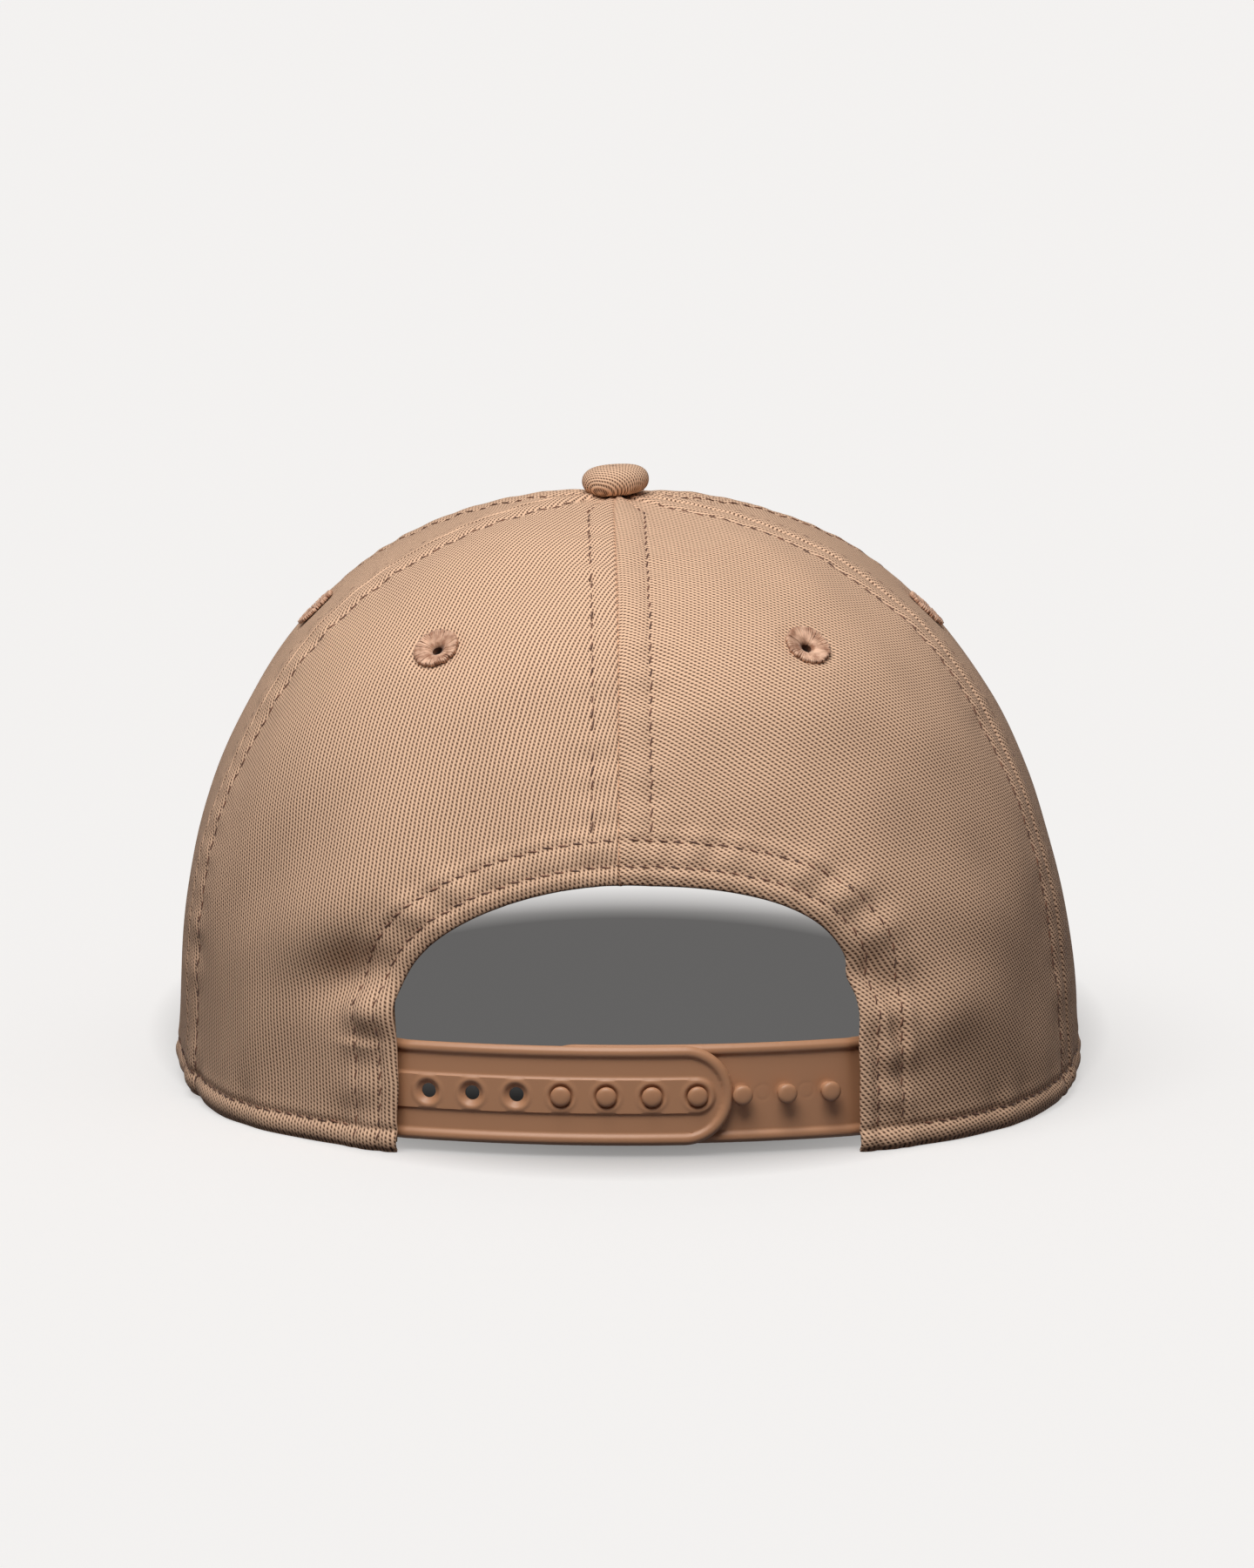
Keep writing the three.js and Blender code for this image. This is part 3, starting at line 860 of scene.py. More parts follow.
@dataclass(frozen=True)
class CrownForm:
    """The crown's surface, as the cloth takes it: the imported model's own curves, with sewn relief.

    Its plan is a superellipse and each upright section is another. The sizes marked from the frame are
    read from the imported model's boxes.
    """

    half_width: float
    height: float
    centre_y: float
    rear_reach: float = 91 * MM
    front_reach: float = 104 * MM
    rear_squareness: float = 2.34
    front_squareness: float = 2.14
    rear_fullness: float = 2.38
    side_fullness: float = 2.42
    front_fullness: float = 2.6
    visor_end: float = math.radians(58)
    flat_from: float = math.radians(130)
    rim_fall: float = 1.4
    visor_height: float = 23.447 * MM
    cross_radius: float = 147 * MM
    slope: float = math.radians(9)
    arch_half_width: float = 44.3 * MM
    arch_spring: float = 26.5 * MM
    arch_rise: float = 25.2 * MM
    arch_squareness: tuple[float, float] = (1.9, 2.6)
    stitch_distance: float = 5.5 * MM
    lean: float = 2.6 * MM
    peak: float = 2.3 * MM

    @classmethod
    def from_frame(cls) -> "CrownForm":
        """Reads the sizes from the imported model.

        Returns:
            The form.
        """
        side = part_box("panel_side_right")[1]
        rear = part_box("panel_rear_right")[1]
        low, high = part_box("button_cover")
        return cls(half_width=side.x, height=rear.z + 0.01 * MM, centre_y=(low.y + high.y) / 2)

    def plan_radius(self, azimuth: Array) -> Array:
        """The distance from the axis to the rim at an azimuth."""
        forward = np.cos(azimuth)
        reach = np.where(forward > 0, self.front_reach, self.rear_reach)
        power = mix(self.rear_squareness, self.front_squareness, 0.5 + 0.5 * forward)
        across = np.abs(np.sin(azimuth) / self.half_width) ** power
        return (across + np.abs(forward / reach) ** power) ** (-1 / power)

    def fullness(self, azimuth: Array) -> Array:
        """The power of the upright section at an azimuth."""
        forward = np.cos(azimuth)
        end = np.where(forward > 0, self.front_fullness, self.rear_fullness)
        return mix(self.side_fullness, end, np.abs(forward))

    def rise_of(self, azimuth: Array, height: Array) -> Array:
        """The rise angle at a height."""
        return np.arcsin(np.clip(height / self.height, 0, 1) ** (self.fullness(azimuth) / 2))

    def rise_at(self, azimuth: Array, radius: Array) -> Array:
        """The rise angle at a distance from the axis."""
        return np.arccos(np.clip(radius / self.plan_radius(azimuth), 0, 1) ** (self.fullness(azimuth) / 2))

    def outer(self, azimuth: Array, rise: Array) -> Array:
        """Places points on the plain surface, without relief or lean.

        Args:
            azimuth: Azimuths.
            rise: Rise angles, 0 at the rim's level and a quarter turn at the apex.

        Returns:
            Points, with the crown's axis through the origin.
        """
        power = 2 / self.fullness(azimuth)
        radius = self.plan_radius(azimuth) * np.clip(np.cos(rise), 0, 1) ** power
        height = self.height * np.clip(np.sin(rise), 0, 1) ** power
        return np.stack([radius * np.sin(azimuth), radius * np.cos(azimuth), height], -1)

    def normal(self, azimuth: Array, rise: Array) -> Array:
        """The way out of the plain surface."""
        step = 1e-3
        rise = np.clip(rise, 2 * step, math.pi / 2 - 2 * step)
        aside = self.outer(azimuth + step, rise) - self.outer(azimuth - step, rise)
        up = self.outer(azimuth, rise + step) - self.outer(azimuth, rise - step)
        return unit(np.cross(up, aside))

    def visor_floor(self, x: Array, y: Array) -> Array:
        """The height of the visor's lower surface over a place measured from the axis."""
        bend = self.cross_radius - np.sqrt(self.cross_radius**2 - x * x)
        return self.visor_height - bend - math.tan(self.slope) * (y - self.front_reach)

    def rim_height(self, azimuth: Array) -> Array:
        """The rim's height at an azimuth."""
        turn = np.abs(azimuth)
        on_visor = np.minimum(turn, self.visor_end)
        radius = self.plan_radius(on_visor)
        height = self.visor_floor(radius * np.sin(on_visor), radius * np.cos(on_visor))
        share = np.clip((turn - self.visor_end) / (self.flat_from - self.visor_end), 0, 1)
        return height * (1 - share) ** self.rim_fall

    def arch_distance(self, x: Array, z: Array) -> Array:
        """How far a place is outside the arch at the back.

        Args:
            x: Distance from the middle plane.
            z: Height.

        Returns:
            The distance, below 0 inside the arch.
        """
        beyond = np.abs(x) - self.arch_half_width
        power = np.where(x < 0, *self.arch_squareness)
        across, up = np.maximum(np.abs(x), 1e-6), np.maximum(z - self.arch_spring, 1e-6)
        away = np.maximum(beyond, -20 * MM)
        for _ in range(10):
            wide, tall = self.arch_half_width + away, self.arch_rise + away
            reach = ((across / wide) ** power + (up / tall) ** power) ** (1 / power)
            slope = ((across / wide) ** power / wide + (up / tall) ** power / tall) / reach ** (power - 1)
            away = np.clip(away + (reach - 1) / np.maximum(slope, 1e-6), -20 * MM, 90 * MM)
        return np.where(z > self.arch_spring, away, beyond)

    def arch_curve(self, away: Array | float, across: Array) -> tuple[Array, Array]:
        """Follows the arch over its legs.

        Args:
            away: The distance outside its edge.
            across: Places along it, from -1 at the left leg to 1 at the right.

        Returns:
            Distances from the middle plane, and heights.
        """
        turn = across * math.pi / 2
        power = 2 / np.where(across < 0, *self.arch_squareness)
        x = (self.arch_half_width + away) * np.sign(across) * np.abs(np.sin(turn)) ** power
        return x, self.arch_spring + (self.arch_rise + away) * np.abs(np.cos(turn)) ** power

    def relief(self, azimuth: Array, rise: Array) -> Array:
        """How far the sewn cloth stands out from the plain surface.

        Args:
            azimuth: Azimuths.
            rise: Rise angles.

        Returns:
            Distances, positive outwards.
        """
        point = self.outer(azimuth, rise)
        radius = np.hypot(point[..., 0], point[..., 1])
        turn = np.abs(azimuth)
        along = 108 * MM * rise
        above = point[..., 2] - self.rim_height(azimuth)
        lift = np.zeros_like(radius)
        squeeze = self.squeeze(radius)
        rear = smooth(math.radians(95), math.radians(125), turn)
        for k, seam in enumerate((0, 60, 109.5, 180)):
            away = radius * np.abs(turn - math.radians(seam)) / squeeze
            seed = 31 * k + np.where(azimuth > 0, 1, 0)
            wave = np.where(seed % 2 == 1, ripple(along, 7.5 * MM, 31 * k + 5), ripple(along, 8.5 * MM, 31 * k + 6))
            lapped = (azimuth > 0) == (seam == 180)
            lift += np.where(lapped, -0.3, -1.0) * MM * bell(away, 0, 0.5 * MM)
            lift += np.where(lapped, 0.4, 0.0) * MM * (1 - smooth(0.0, 5.0 * MM, away))
            lift += 0.34 * MM * (1 - smooth(5.2 * MM, 7.4 * MM, away))
            lift += 0.16 * MM * bell(away, 2.9 * MM, 1.6 * MM)
            lift += -0.34 * MM * bell(away, self.stitch_distance, 0.7 * MM)
            lift += 0.22 * MM * wave * bell(away, 5.0 * MM, 3.8 * MM)
        sideways = radius * azimuth
        lift += -0.45 * MM * bell(above, 0, 0.5 * MM)
        lift += 0.5 * MM * bell(above, 1.9 * MM, 1.9 * MM) + 0.2 * MM * (1 - smooth(4.0 * MM, 7.5 * MM, above))
        lift += -0.48 * MM * bell(above, 4.0 * MM, 0.8 * MM)
        lift += 0.28 * MM * ripple(sideways, 9 * MM, 77) * bell(above, 4.5 * MM, 4.0 * MM)
        behind = point[..., 1] < 0
        arch = np.where(behind, self.arch_distance(point[..., 0], point[..., 2]), 90 * MM)
        border = -0.4 * MM * bell(arch, 0, 0.5 * MM)
        border += 0.5 * MM * (1 - smooth(7.6 * MM, 10.5 * MM, arch))
        border += -0.42 * MM * (bell(arch, 2.7 * MM, 0.7 * MM) + bell(arch, 7.3 * MM, 0.75 * MM))
        sweep = np.arctan2(point[..., 2] - 20 * MM, point[..., 0]) * 45 * MM
        border += 0.34 * MM * ripple(sweep, 6.5 * MM, 78) * bell(arch, 6.4 * MM, 4.2 * MM)
        lift += border
        soft = mix(0.35, 1.0, rear)
        lift += soft * (0.85 * MM * rolling(point, 42 * MM, 12) + 0.22 * MM * rolling(point, 15 * MM, 13))
        lift += 1.25 * rear * self.creases(point)
        for zone in Zone:
            spot = self.outer(np.array(zone.eyelet), self.rise_of(zone.eyelet, 91.5 * MM))
            mirrored = point * np.array([1.0, 1.0, 1.0])
            mirrored[..., 0] = np.abs(point[..., 0])
            off = np.linalg.norm(mirrored - spot, axis=-1)
            lift += -0.35 * MM * bell(off, 4.6 * MM, 1.3 * MM) - 0.5 * MM * bell(off, 0, 3.5 * MM)
        return lift

    def creases(self, point: Array) -> Array:
        """The soft folds of the unlined cloth beside the arch.

        Args:
            point: Places on the plain surface.

        Returns:
            How far the cloth stands out.
        """
        x, z = point[..., 0], point[..., 2]
        along = (x + 52 * MM) * 0.87 + (z - 33 * MM) * 0.49
        across = -(x + 52 * MM) * 0.49 + (z - 33 * MM) * 0.87
        lift = -2.6 * MM * bell(across, 0, 5.0 * MM) * bell(along, -1 * MM, 10 * MM)
        lift += 1.2 * MM * bell(across, 10 * MM, 7 * MM) * bell(along, 2 * MM, 18 * MM)
        lift += 1.5 * MM * bell(x, -47.5 * MM, 4.5 * MM) * bell(z, 26.5 * MM, 4.5 * MM)
        lift += -1.0 * MM * bell(x, -63 * MM, 7 * MM) * bell(z, 14 * MM, 14 * MM)
        over = (x - 52 * MM) * 0.82 - (z - 34 * MM) * 0.57
        aside = (x - 52 * MM) * 0.57 + (z - 34 * MM) * 0.82
        lift += -2.0 * MM * bell(aside, -4 * MM, 4.5 * MM) * bell(over, -2 * MM, 10 * MM)
        lift += 1.6 * MM * bell(x, 59 * MM, 8 * MM) * bell(z, 25 * MM, 7 * MM)
        fold = np.cos((x - 48.5 * MM + 0.2 * (z - 20 * MM)) * 2 * math.pi / (5.6 * MM))
        lift += 0.6 * MM * fold * bell(x, 49 * MM, 4.5 * MM) * bell(z, 22 * MM, 9 * MM)
        lift += 0.9 * MM * bell(x, 70 * MM, 9 * MM) * bell(z, 42 * MM, 9 * MM)
        return np.where(point[..., 1] < 0, lift, 0.0)

    def squeeze(self, radius: Array, room: float = 12.5 * MM) -> Array:
        """How much what lies beside a seam narrows where the panels are narrower than the room it needs."""
        return np.clip(radius * math.radians(49.5) / room, 0.05, 1)

    def settled(self, points: Array) -> Array:
        """Moves points from round the axis to their place in the frame, with the crown's slight lean.

        The edge of the arch wavers a little, most at its right corner.
        """
        moved = points + np.array([0.0, self.centre_y, 0.0])
        x, z = points[..., 0], points[..., 2]
        near = bell(np.abs(x) - self.arch_half_width, 0, 7 * MM) * (points[..., 1] < 0)
        waver = 0.2 * MM * ripple(z + np.sign(x) * 80 * MM, 13 * MM, 21) * smooth(2 * MM, 9 * MM, z)
        pull = -0.8 * MM * bell(z, 33 * MM, 2.2 * MM)
        moved[..., 0] += near * (waver * (z < 45 * MM) + np.where(x > 0, pull, 0.0))
        share = np.clip(z / self.height, 0, 1.03)
        moved[..., 0] -= self.lean * (0.54 * smooth(10 * MM, 62 * MM, z) + 0.46 * share**12)
        top = bell(np.hypot(x, points[..., 1]), 0, 32 * MM) * smooth(0.6 * self.height, 0.85 * self.height, z)
        moved[..., 2] += self.peak * top
        return moved

    def cloth(self, azimuth: Array, rise: Array, lift: float | Array = 0.0) -> Array:
        """Places points on the sewn outside of the crown.

        Args:
            azimuth: Azimuths.
            rise: Rise angles.
            lift: Distance out from the cloth.

        Returns:
            Points in the frame.
        """
        out = (self.relief(azimuth, rise) + lift)[..., None]
        return self.settled(self.outer(azimuth, rise) + self.normal(azimuth, rise) * out)

    def lining(self, azimuth: Array, rise: Array, inset: float | Array) -> Array:
        """Places points inside the crown, at a distance from the plain surface; the rim's height is kept.

        Args:
            azimuth: Azimuths.
            rise: Rise angles.
            inset: Distance in from the surface.

        Returns:
            Points in the frame.
        """
        normal = self.normal(azimuth, rise)
        normal[..., 2] *= smooth(0.1, 0.5, rise)
        return self.settled(self.outer(azimuth, rise) - normal * np.asarray(inset)[..., None])

    def meridian(self, azimuth: float, low: float, high: float, count: int = 400) -> tuple[Array, Array]:
        """Measures up the surface at one azimuth.

        Args:
            azimuth: The azimuth.
            low: The first rise angle.
            high: The last.
            count: How many steps.

        Returns:
            Rise angles and their distances from the first.
        """
        rises = np.linspace(low, high, count)
        points = self.outer(np.full(count, azimuth), rises)
        steps = np.linalg.norm(np.diff(points, axis=0), axis=-1)
        return rises, np.concatenate([[0.0], np.cumsum(steps)])

    def rear_azimuth(self, x: Array, z: Array) -> Array:
        """The azimuth at the back of the crown, for a distance from the middle plane and a height.

        Args:
            x: Signed distances.
            z: Heights.

        Returns:
            Azimuths.
        """
        low = np.zeros_like(x)
        high = np.full_like(x, math.pi / 2)
        for _ in range(30):
            turn = (low + high) / 2
            found = self.outer(math.pi - turn, self.rise_of(math.pi - turn, z))[..., 0]
            low = np.where(found < np.abs(x), turn, low)
            high = np.where(found < np.abs(x), high, turn)
        return (math.pi - (low + high) / 2) * np.where(x < 0, -1, 1)


@dataclass(frozen=True)
class GoreMap:
    """Flattens one panel, so that the weave lies on it as on the cut cloth.

    The panel unrolls as a stack of cones about its own middle line, and the ribs turn by the grain.
    """

    form: CrownForm
    middle: float
    grain: float
    shift: float

    def flat(self, azimuth: Array, rise: Array) -> Array:
        """Places points on the flat panel.

        Args:
            azimuth: Azimuths.
            rise: Rise angles.

        Returns:
            Points in metres, with the panel's middle line along the second axis.
        """
        rises, along = self.form.meridian(self.middle, 0.002, math.pi / 2 - 0.01)
        point = self.form.outer(np.full(rises.shape, self.middle), rises)
        radius = np.hypot(point[:, 0], point[:, 1])
        narrowing = np.clip(-np.gradient(radius, along) / radius, 1e-3, 120)
        here = self.form.outer(azimuth, rise)
        own = np.hypot(here[..., 0], here[..., 1])
        sideways = -(azimuth - self.middle) * (own + np.interp(rise, rises, radius)) / 2
        cone = np.interp(rise, rises, narrowing)
        x = np.sin(sideways * cone) / cone
        y = np.interp(rise, rises, along) + (1 - np.cos(sideways * cone)) / cone
        return np.stack([x, y], -1)

    def cloth(self, azimuth: Array, rise: Array) -> Array:
        """Places points on the weave, with the ribs along the first axis.

        Args:
            azimuth: Azimuths.
            rise: Rise angles.

        Returns:
            Points in metres.
        """
        flat = self.flat(azimuth, rise)
        sine, cosine = math.sin(self.grain), math.cos(self.grain)
        along = flat[..., 0] * sine + flat[..., 1] * cosine
        across = flat[..., 0] * cosine - flat[..., 1] * sine
        return np.stack([along + self.shift, across + self.shift * 0.37], -1)


@dataclass
class StitchRow:
    """A row of lockstitches along a line on the cloth."""

    line: Array
    ups: Array
    pitch: float = 2.9 * MM
    length: float = 2.42 * MM
    radius: float = 0.16 * MM
    slant: float = 0.2
    sink: float = 0.34 * MM
    proud: float = 0.08 * MM

    def threads(self, rng: np.random.Generator) -> tuple[Array, Array]:
        """Lays the stitches out.

        Args:
            rng: Where their small differences come from.

        Returns:
            The stitches' middle lines, and the way up along them.
        """
        run = np.concatenate([[0.0], np.cumsum(np.linalg.norm(np.diff(self.line, axis=0), axis=-1))])
        count = max(int((run[-1] - self.length) / self.pitch), 1)
        starts = (np.arange(count) + 0.2) * self.pitch + rng.uniform(-0.1, 0.1, count) * MM
        share = np.linspace(0, 1, 7)
        lengths = self.length * rng.uniform(0.92, 1.06, count)
        at = starts[:, None] + share * lengths[:, None]
        points = np.stack([np.interp(at, run, self.line[:, k]) for k in range(3)], -1)
        ups = unit(np.stack([np.interp(at, run, self.ups[:, k]) for k in range(3)], -1))
        across = unit(np.cross(np.gradient(points, axis=1), ups))
        slant = (share - 0.5) * self.length * self.slant
        wander = rng.uniform(-0.12, 0.12, count) * MM
        shape = self.proud - (self.proud + self.sink) * np.abs(2 * share - 1) ** 3.2
        points = points + across * (slant + wander[:, None])[..., None] + ups * shape[:, None]
        return points, ups


def sew(name: str, rows: Sequence[StitchRow], material: bpy.types.Material, seed: int) -> bpy.types.Object:
    """Makes one piece of several rows of stitches.

    Args:
        name: The piece's name.
        rows: The rows, all of one thread.
        material: The thread.
        seed: Picks the small differences.

    Returns:
        The piece.
    """
    rng = np.random.default_rng(seed)
    lines, ups = zip(*(row.threads(rng) for row in rows))
    radii = rows[0].radius * np.array([0.75, 0.95, 1.0, 1.05, 1.0, 0.95, 0.75])
    return tubes(name, np.concatenate(lines), np.concatenate(ups), radii, material)


# ---- The crown ------------------------------------------------------------------------------------

NEAR_SEAM = (0.1, 0.3, 0.5, 0.8, 1.2, 1.75, 2.4, 3.1, 3.75, 4.3, 4.8, 5.2, 5.5, 5.8, 6.2, 6.8, 7.6, 8.6)
NEAR_RIM = (0.0, 0.2, 0.45, 0.8, 1.3, 1.9, 2.5, 3.1, 3.55, 3.85, 4.15, 4.5, 5.0, 5.7, 6.5)


@dataclass
class CrownPanel:
    """One of the six twill panels of the crown."""

    form: CrownForm
    zone: Zone
    side: Side
    grain: float
    spacing: float = 1.0 * MM
    thickness: float = 1.15 * MM
    top_radius: float = 2.4 * MM
    eyelet_height: float = 91.5 * MM
    eyelet_bore: float = 1.9 * MM

    @property
    def word(self) -> str:
        """The panel's place in its name."""
        return f"{self.zone.name.lower()}_{self.side.word}"

    @property
    def middle(self) -> float:
        """The azimuth of the panel's middle line."""
        return math.radians(sum(self.zone.value) / 2) * self.side.value

    def pattern(self) -> Pattern:
        """Lays the panel out over azimuth and rise, closer where it is sewn.

        Returns:
            The pattern, with the arch and the eyelet cut away.
        """
        form = self.form
        low, high = (math.radians(a) for a in self.zone.value)
        near = np.array(NEAR_SEAM) * MM
        widest = (high - low) * float(form.plan_radius(np.array((low + high) / 2)))
        inner = np.linspace(0, 1, int((widest - 2 * near[-1]) / self.spacing))[1:-1]
        share = np.concatenate([near / widest, mix(near[-1] / widest, 1 - near[-1] / widest, inner)])
        share = np.concatenate([share, 1 - near[::-1] / widest])
        first = low + (high - low) * share
        rim = form.rise_of(first, form.rim_height(first))
        rises = np.empty((0, len(first)))
        columns = []
        for azimuth, bottom in zip(first, rim):
            top = float(form.rise_at(azimuth, self.top_radius))
            angles, along = form.meridian(float(azimuth), float(bottom), top)
            count = int(175 * MM / self.spacing)
            marks = np.concatenate([np.array(NEAR_RIM) * MM, np.linspace(NEAR_RIM[-1] * MM, along[-1], count)[1:]])
            columns.append(np.interp(marks, along, angles))
        rises = np.stack(columns, -1)
        azimuths = np.empty_like(rises)
        for j, row in enumerate(rises):
            radius = np.linalg.norm(form.outer(first, row)[:, :2], axis=-1)
            squeeze = form.squeeze(radius, 21 * MM)
            start = low + near * squeeze[: len(near)] / radius[: len(near)]
            end = high - near[::-1] * squeeze[-len(near) :] / radius[-len(near) :]
            azimuths[j] = np.concatenate([start, mix(start[-1], end[0], inner), end])
        made = Pattern.from_rows(np.stack([azimuths * self.side.value, rises], -1))
        made.cut(self.kept, 0.0004)
        return made

    def kept(self, places: Array) -> Array:
        """The distance of each place from what is cut away, below 0 inside it."""
        point = self.form.outer(places[:, 0], places[:, 1])
        eyelet = self.zone.eyelet * self.side.value
        spot = self.form.outer(np.array(eyelet), self.form.rise_of(eyelet, self.eyelet_height))
        hole = np.linalg.norm(point - spot, axis=-1) - self.eyelet_bore
        if self.zone is not Zone.REAR:
            return hole
        arch = self.form.arch_distance(point[:, 0], point[:, 2])
        return np.minimum(hole, arch)

    def build(self, finishes: Finishes) -> bpy.types.Object:
        """Makes the panel.

        Args:
            finishes: The cap's finishes.

        Returns:
            The piece.
        """
        pattern = self.pattern()
        azimuth, rise = pattern.places.T
        grain = GoreMap(self.form, self.middle, math.radians(self.grain), self.middle * 0.13)
        front = self.form.cloth(azimuth, rise)
        back = self.form.cloth(azimuth, rise, -self.thickness)
        piece = slab(
            f"crown_panel_{self.word}", pattern, front, back, finishes.twill, grain.cloth(azimuth, rise), 0.6
        )
        flat = grain.flat(azimuth, rise)
        dress(piece, [f"panel_{self.word}"])
        below = [f"crown_buckram_{self.side.word}"] if self.zone is Zone.FRONT else []
        return piece


@dataclass
class CrownStitching:
    """The topstitching of the crown: beside each seam, round the rim and round the arch."""

    form: CrownForm
    lift: float = 0.05 * MM

    def row(self, azimuth: Array, rise: Array) -> StitchRow:
        """Makes a row along a line on the cloth.

        Args:
            azimuth: The line's azimuths.
            rise: Its rise angles.

        Returns:
            The row.
        """
        return StitchRow(self.form.cloth(azimuth, rise, self.lift), self.form.normal(azimuth, rise))

    def beside_seam(self, seam: float, side: int, low: float, high_radius: float) -> StitchRow:
        """A row beside a seam.

        Args:
            seam: The seam's azimuth.
            side: -1 or 1 for the side of the seam.
            low: The height where the row starts.
            high_radius: The distance from the axis where it ends.

        Returns:
            The row.
        """
        form = self.form
        start = float(form.rise_of(np.array(seam), np.array(low)))
        end = float(form.rise_at(np.array(seam), np.array(high_radius)))
        rise = np.linspace(start, end, 500)
        seams = np.full(rise.shape, seam)
        radius = np.linalg.norm(form.outer(seams, rise)[:, :2], axis=-1)
        return self.row(seams + side * form.stitch_distance * form.squeeze(radius) / radius, rise)

    def seam_rows(self, seam: float, low: float | None = None) -> list[StitchRow]:
        """The two rows of a seam.

        Args:
            seam: The seam's azimuth.
            low: Where they start, or None for just over the rim.

        Returns:
            The rows.
        """
        bottom = float(self.form.rim_height(np.array(seam))) + 1 * MM if low is None else low
        return [self.beside_seam(seam, side, bottom, 7.2 * MM) for side in (-1, 1)]

    def rim_row(self, start: float, end: float) -> StitchRow:
        """The row over the rim between two azimuths."""
        azimuth = np.linspace(start, end, 900)
        return self.row(azimuth, self.form.rise_of(azimuth, self.form.rim_height(azimuth) + 4 * MM))

    def arch_row(self, away: float) -> StitchRow:
        """A row round the arch.

        Args:
            away: The row's distance from the arch's edge.

        Returns:
            The row.
        """
        form = self.form
        leg = np.linspace(1 * MM, form.arch_spring, 120)[:-1]
        top_x, top_z = form.arch_curve(away, np.linspace(-1, 1, 700))
        x = np.concatenate([np.full(leg.shape, top_x[0]), top_x, np.full(leg.shape, top_x[-1])])
        z = np.concatenate([leg, top_z, leg[::-1]])
        azimuth = form.rear_azimuth(x, z)
        azimuth = np.where(azimuth < 0, azimuth + 2 * math.pi, azimuth)
        rise = form.rise_of(azimuth, z)
        wrapped = np.where(azimuth > math.pi, azimuth - 2 * math.pi, azimuth)
        line = form.cloth(wrapped, rise, self.lift)
        return StitchRow(line, form.normal(wrapped, rise))

    def build(self, finishes: Finishes) -> list[bpy.types.Object]:
        """Makes the stitching.

        Args:
            finishes: The cap's finishes.

        Returns:
            The pieces.
        """
        form = self.form
        rear = float(form.rear_azimuth(np.array([form.arch_half_width + 8.2 * MM]), np.array([4 * MM]))[0])
        groups = {
            "centre_back": self.seam_rows(math.pi, form.arch_spring + form.arch_rise + 8.0 * MM),
            "centre_front": self.seam_rows(0.0),
            "rim": [self.rim_row(-rear, rear)],
            "arch": [self.arch_row(2.7 * MM), self.arch_row(7.3 * MM)],
        }
        for side in Side:
            for word, seam in (("front", 60), ("rear", 109.5)):
                groups[f"{word}_seam_{side.word}"] = self.seam_rows(math.radians(seam) * side.value)
        made = []
        for k, (word, rows) in enumerate(groups.items()):
            piece = sew(f"stitching_{word}", rows, finishes.stitch, 40 + k)
            dress(piece, [])
            made.append(piece)
        return made


@dataclass
class SewnEyelet:
    """A vent hole whose edge is sewn over with radial threads."""

    form: CrownForm
    azimuth: float
    word: str
    radius: float = 4.35 * MM
    bore: float = 1.05 * MM
    height: float = 91.5 * MM
    threads: int = 60
    thread_radius: float = 0.21 * MM

    def frame_at(self) -> tuple[Array, Array, Array, Array]:
        """Finds the eyelet's middle on the cloth, with the directions across, up and out."""
        rise = float(self.form.rise_of(self.azimuth, self.height))
        place = self.form.cloth(np.array(self.azimuth), np.array(rise), 0.75 * MM)
        out = self.form.normal(np.array(self.azimuth), np.array(rise))
        across = unit(np.cross([0.0, 0.0, 1.0], out))
        return place, across, np.cross(out, across), out

    def build(self, finishes: Finishes) -> bpy.types.Object:
        """Makes the eyelet: its threads outside, the sewn tube through the cloth and the ring inside.

        Args:
            finishes: The cap's finishes.

        Returns:
            The piece.
        """
        place, across, up, out = self.frame_at()
        rng = np.random.default_rng(int(abs(self.azimuth) * 100) + (1 if self.azimuth > 0 else 0))
        share = np.linspace(0, 1, 9)
        angles = (np.arange(self.threads) + rng.uniform(-0.22, 0.22, self.threads)) * 2 * math.pi / self.threads
        ends = self.radius + rng.uniform(-0.22, 0.16, self.threads) * MM
        radius = self.bore + (ends[:, None] - self.bore) * np.sin(share * math.pi / 2) ** 0.8
        height = np.interp(share, [0, 0.12, 0.34, 0.66, 0.9, 1], [-1.1, -0.4, -0.12, 0.12, 0.2, -0.45]) * MM
        height = height + rng.uniform(-0.05, 0.08, (self.threads, 1)) * MM
        swirl = angles[:, None] + 0.06 * (share - 0.5)
        flat = np.cos(swirl)[..., None] * across + np.sin(swirl)[..., None] * up
        lines = place + flat * radius[..., None] + out * height[..., None]
        ups = np.broadcast_to(out, lines.shape)
        widths = self.thread_radius * np.interp(share, [0, 0.3, 1], [0.55, 0.9, 1.15])
        threads = tubes("threads", lines, ups, widths, finishes.eyelet, 6, 0.9)
        outer, bore = self.radius, self.bore
        profile = [
            (bore, -3.4 * MM),
            (outer - 0.3 * MM, -3.4 * MM),
            (outer - 0.3 * MM, -2.9 * MM),
            (bore + 1.0 * MM, -2.7 * MM),
            (bore + 0.9 * MM, -0.5 * MM),
            (outer - 0.5 * MM, -0.5 * MM),
            (outer - 1.0 * MM, -0.1 * MM),
            (bore + 0.9 * MM, -0.75 * MM),
            (bore + 0.15 * MM, -1.4 * MM),
            (bore, -3.4 * MM),
        ]
        points, faces = spin(profile[:-1], place, out, 28)
        last = (len(profile) - 2) * 28
        faces += [(last + k, last + (k + 1) % 28, (k + 1) % 28, k) for k in range(28)]
        core = make_piece("core", points, faces, finishes.stitch)
        turn_out(core)
        piece = join_pieces(f"sewn_eyelet_{self.word}", [threads, core])
        dress(piece, [f"eyelet_{self.word}"])
        return piece


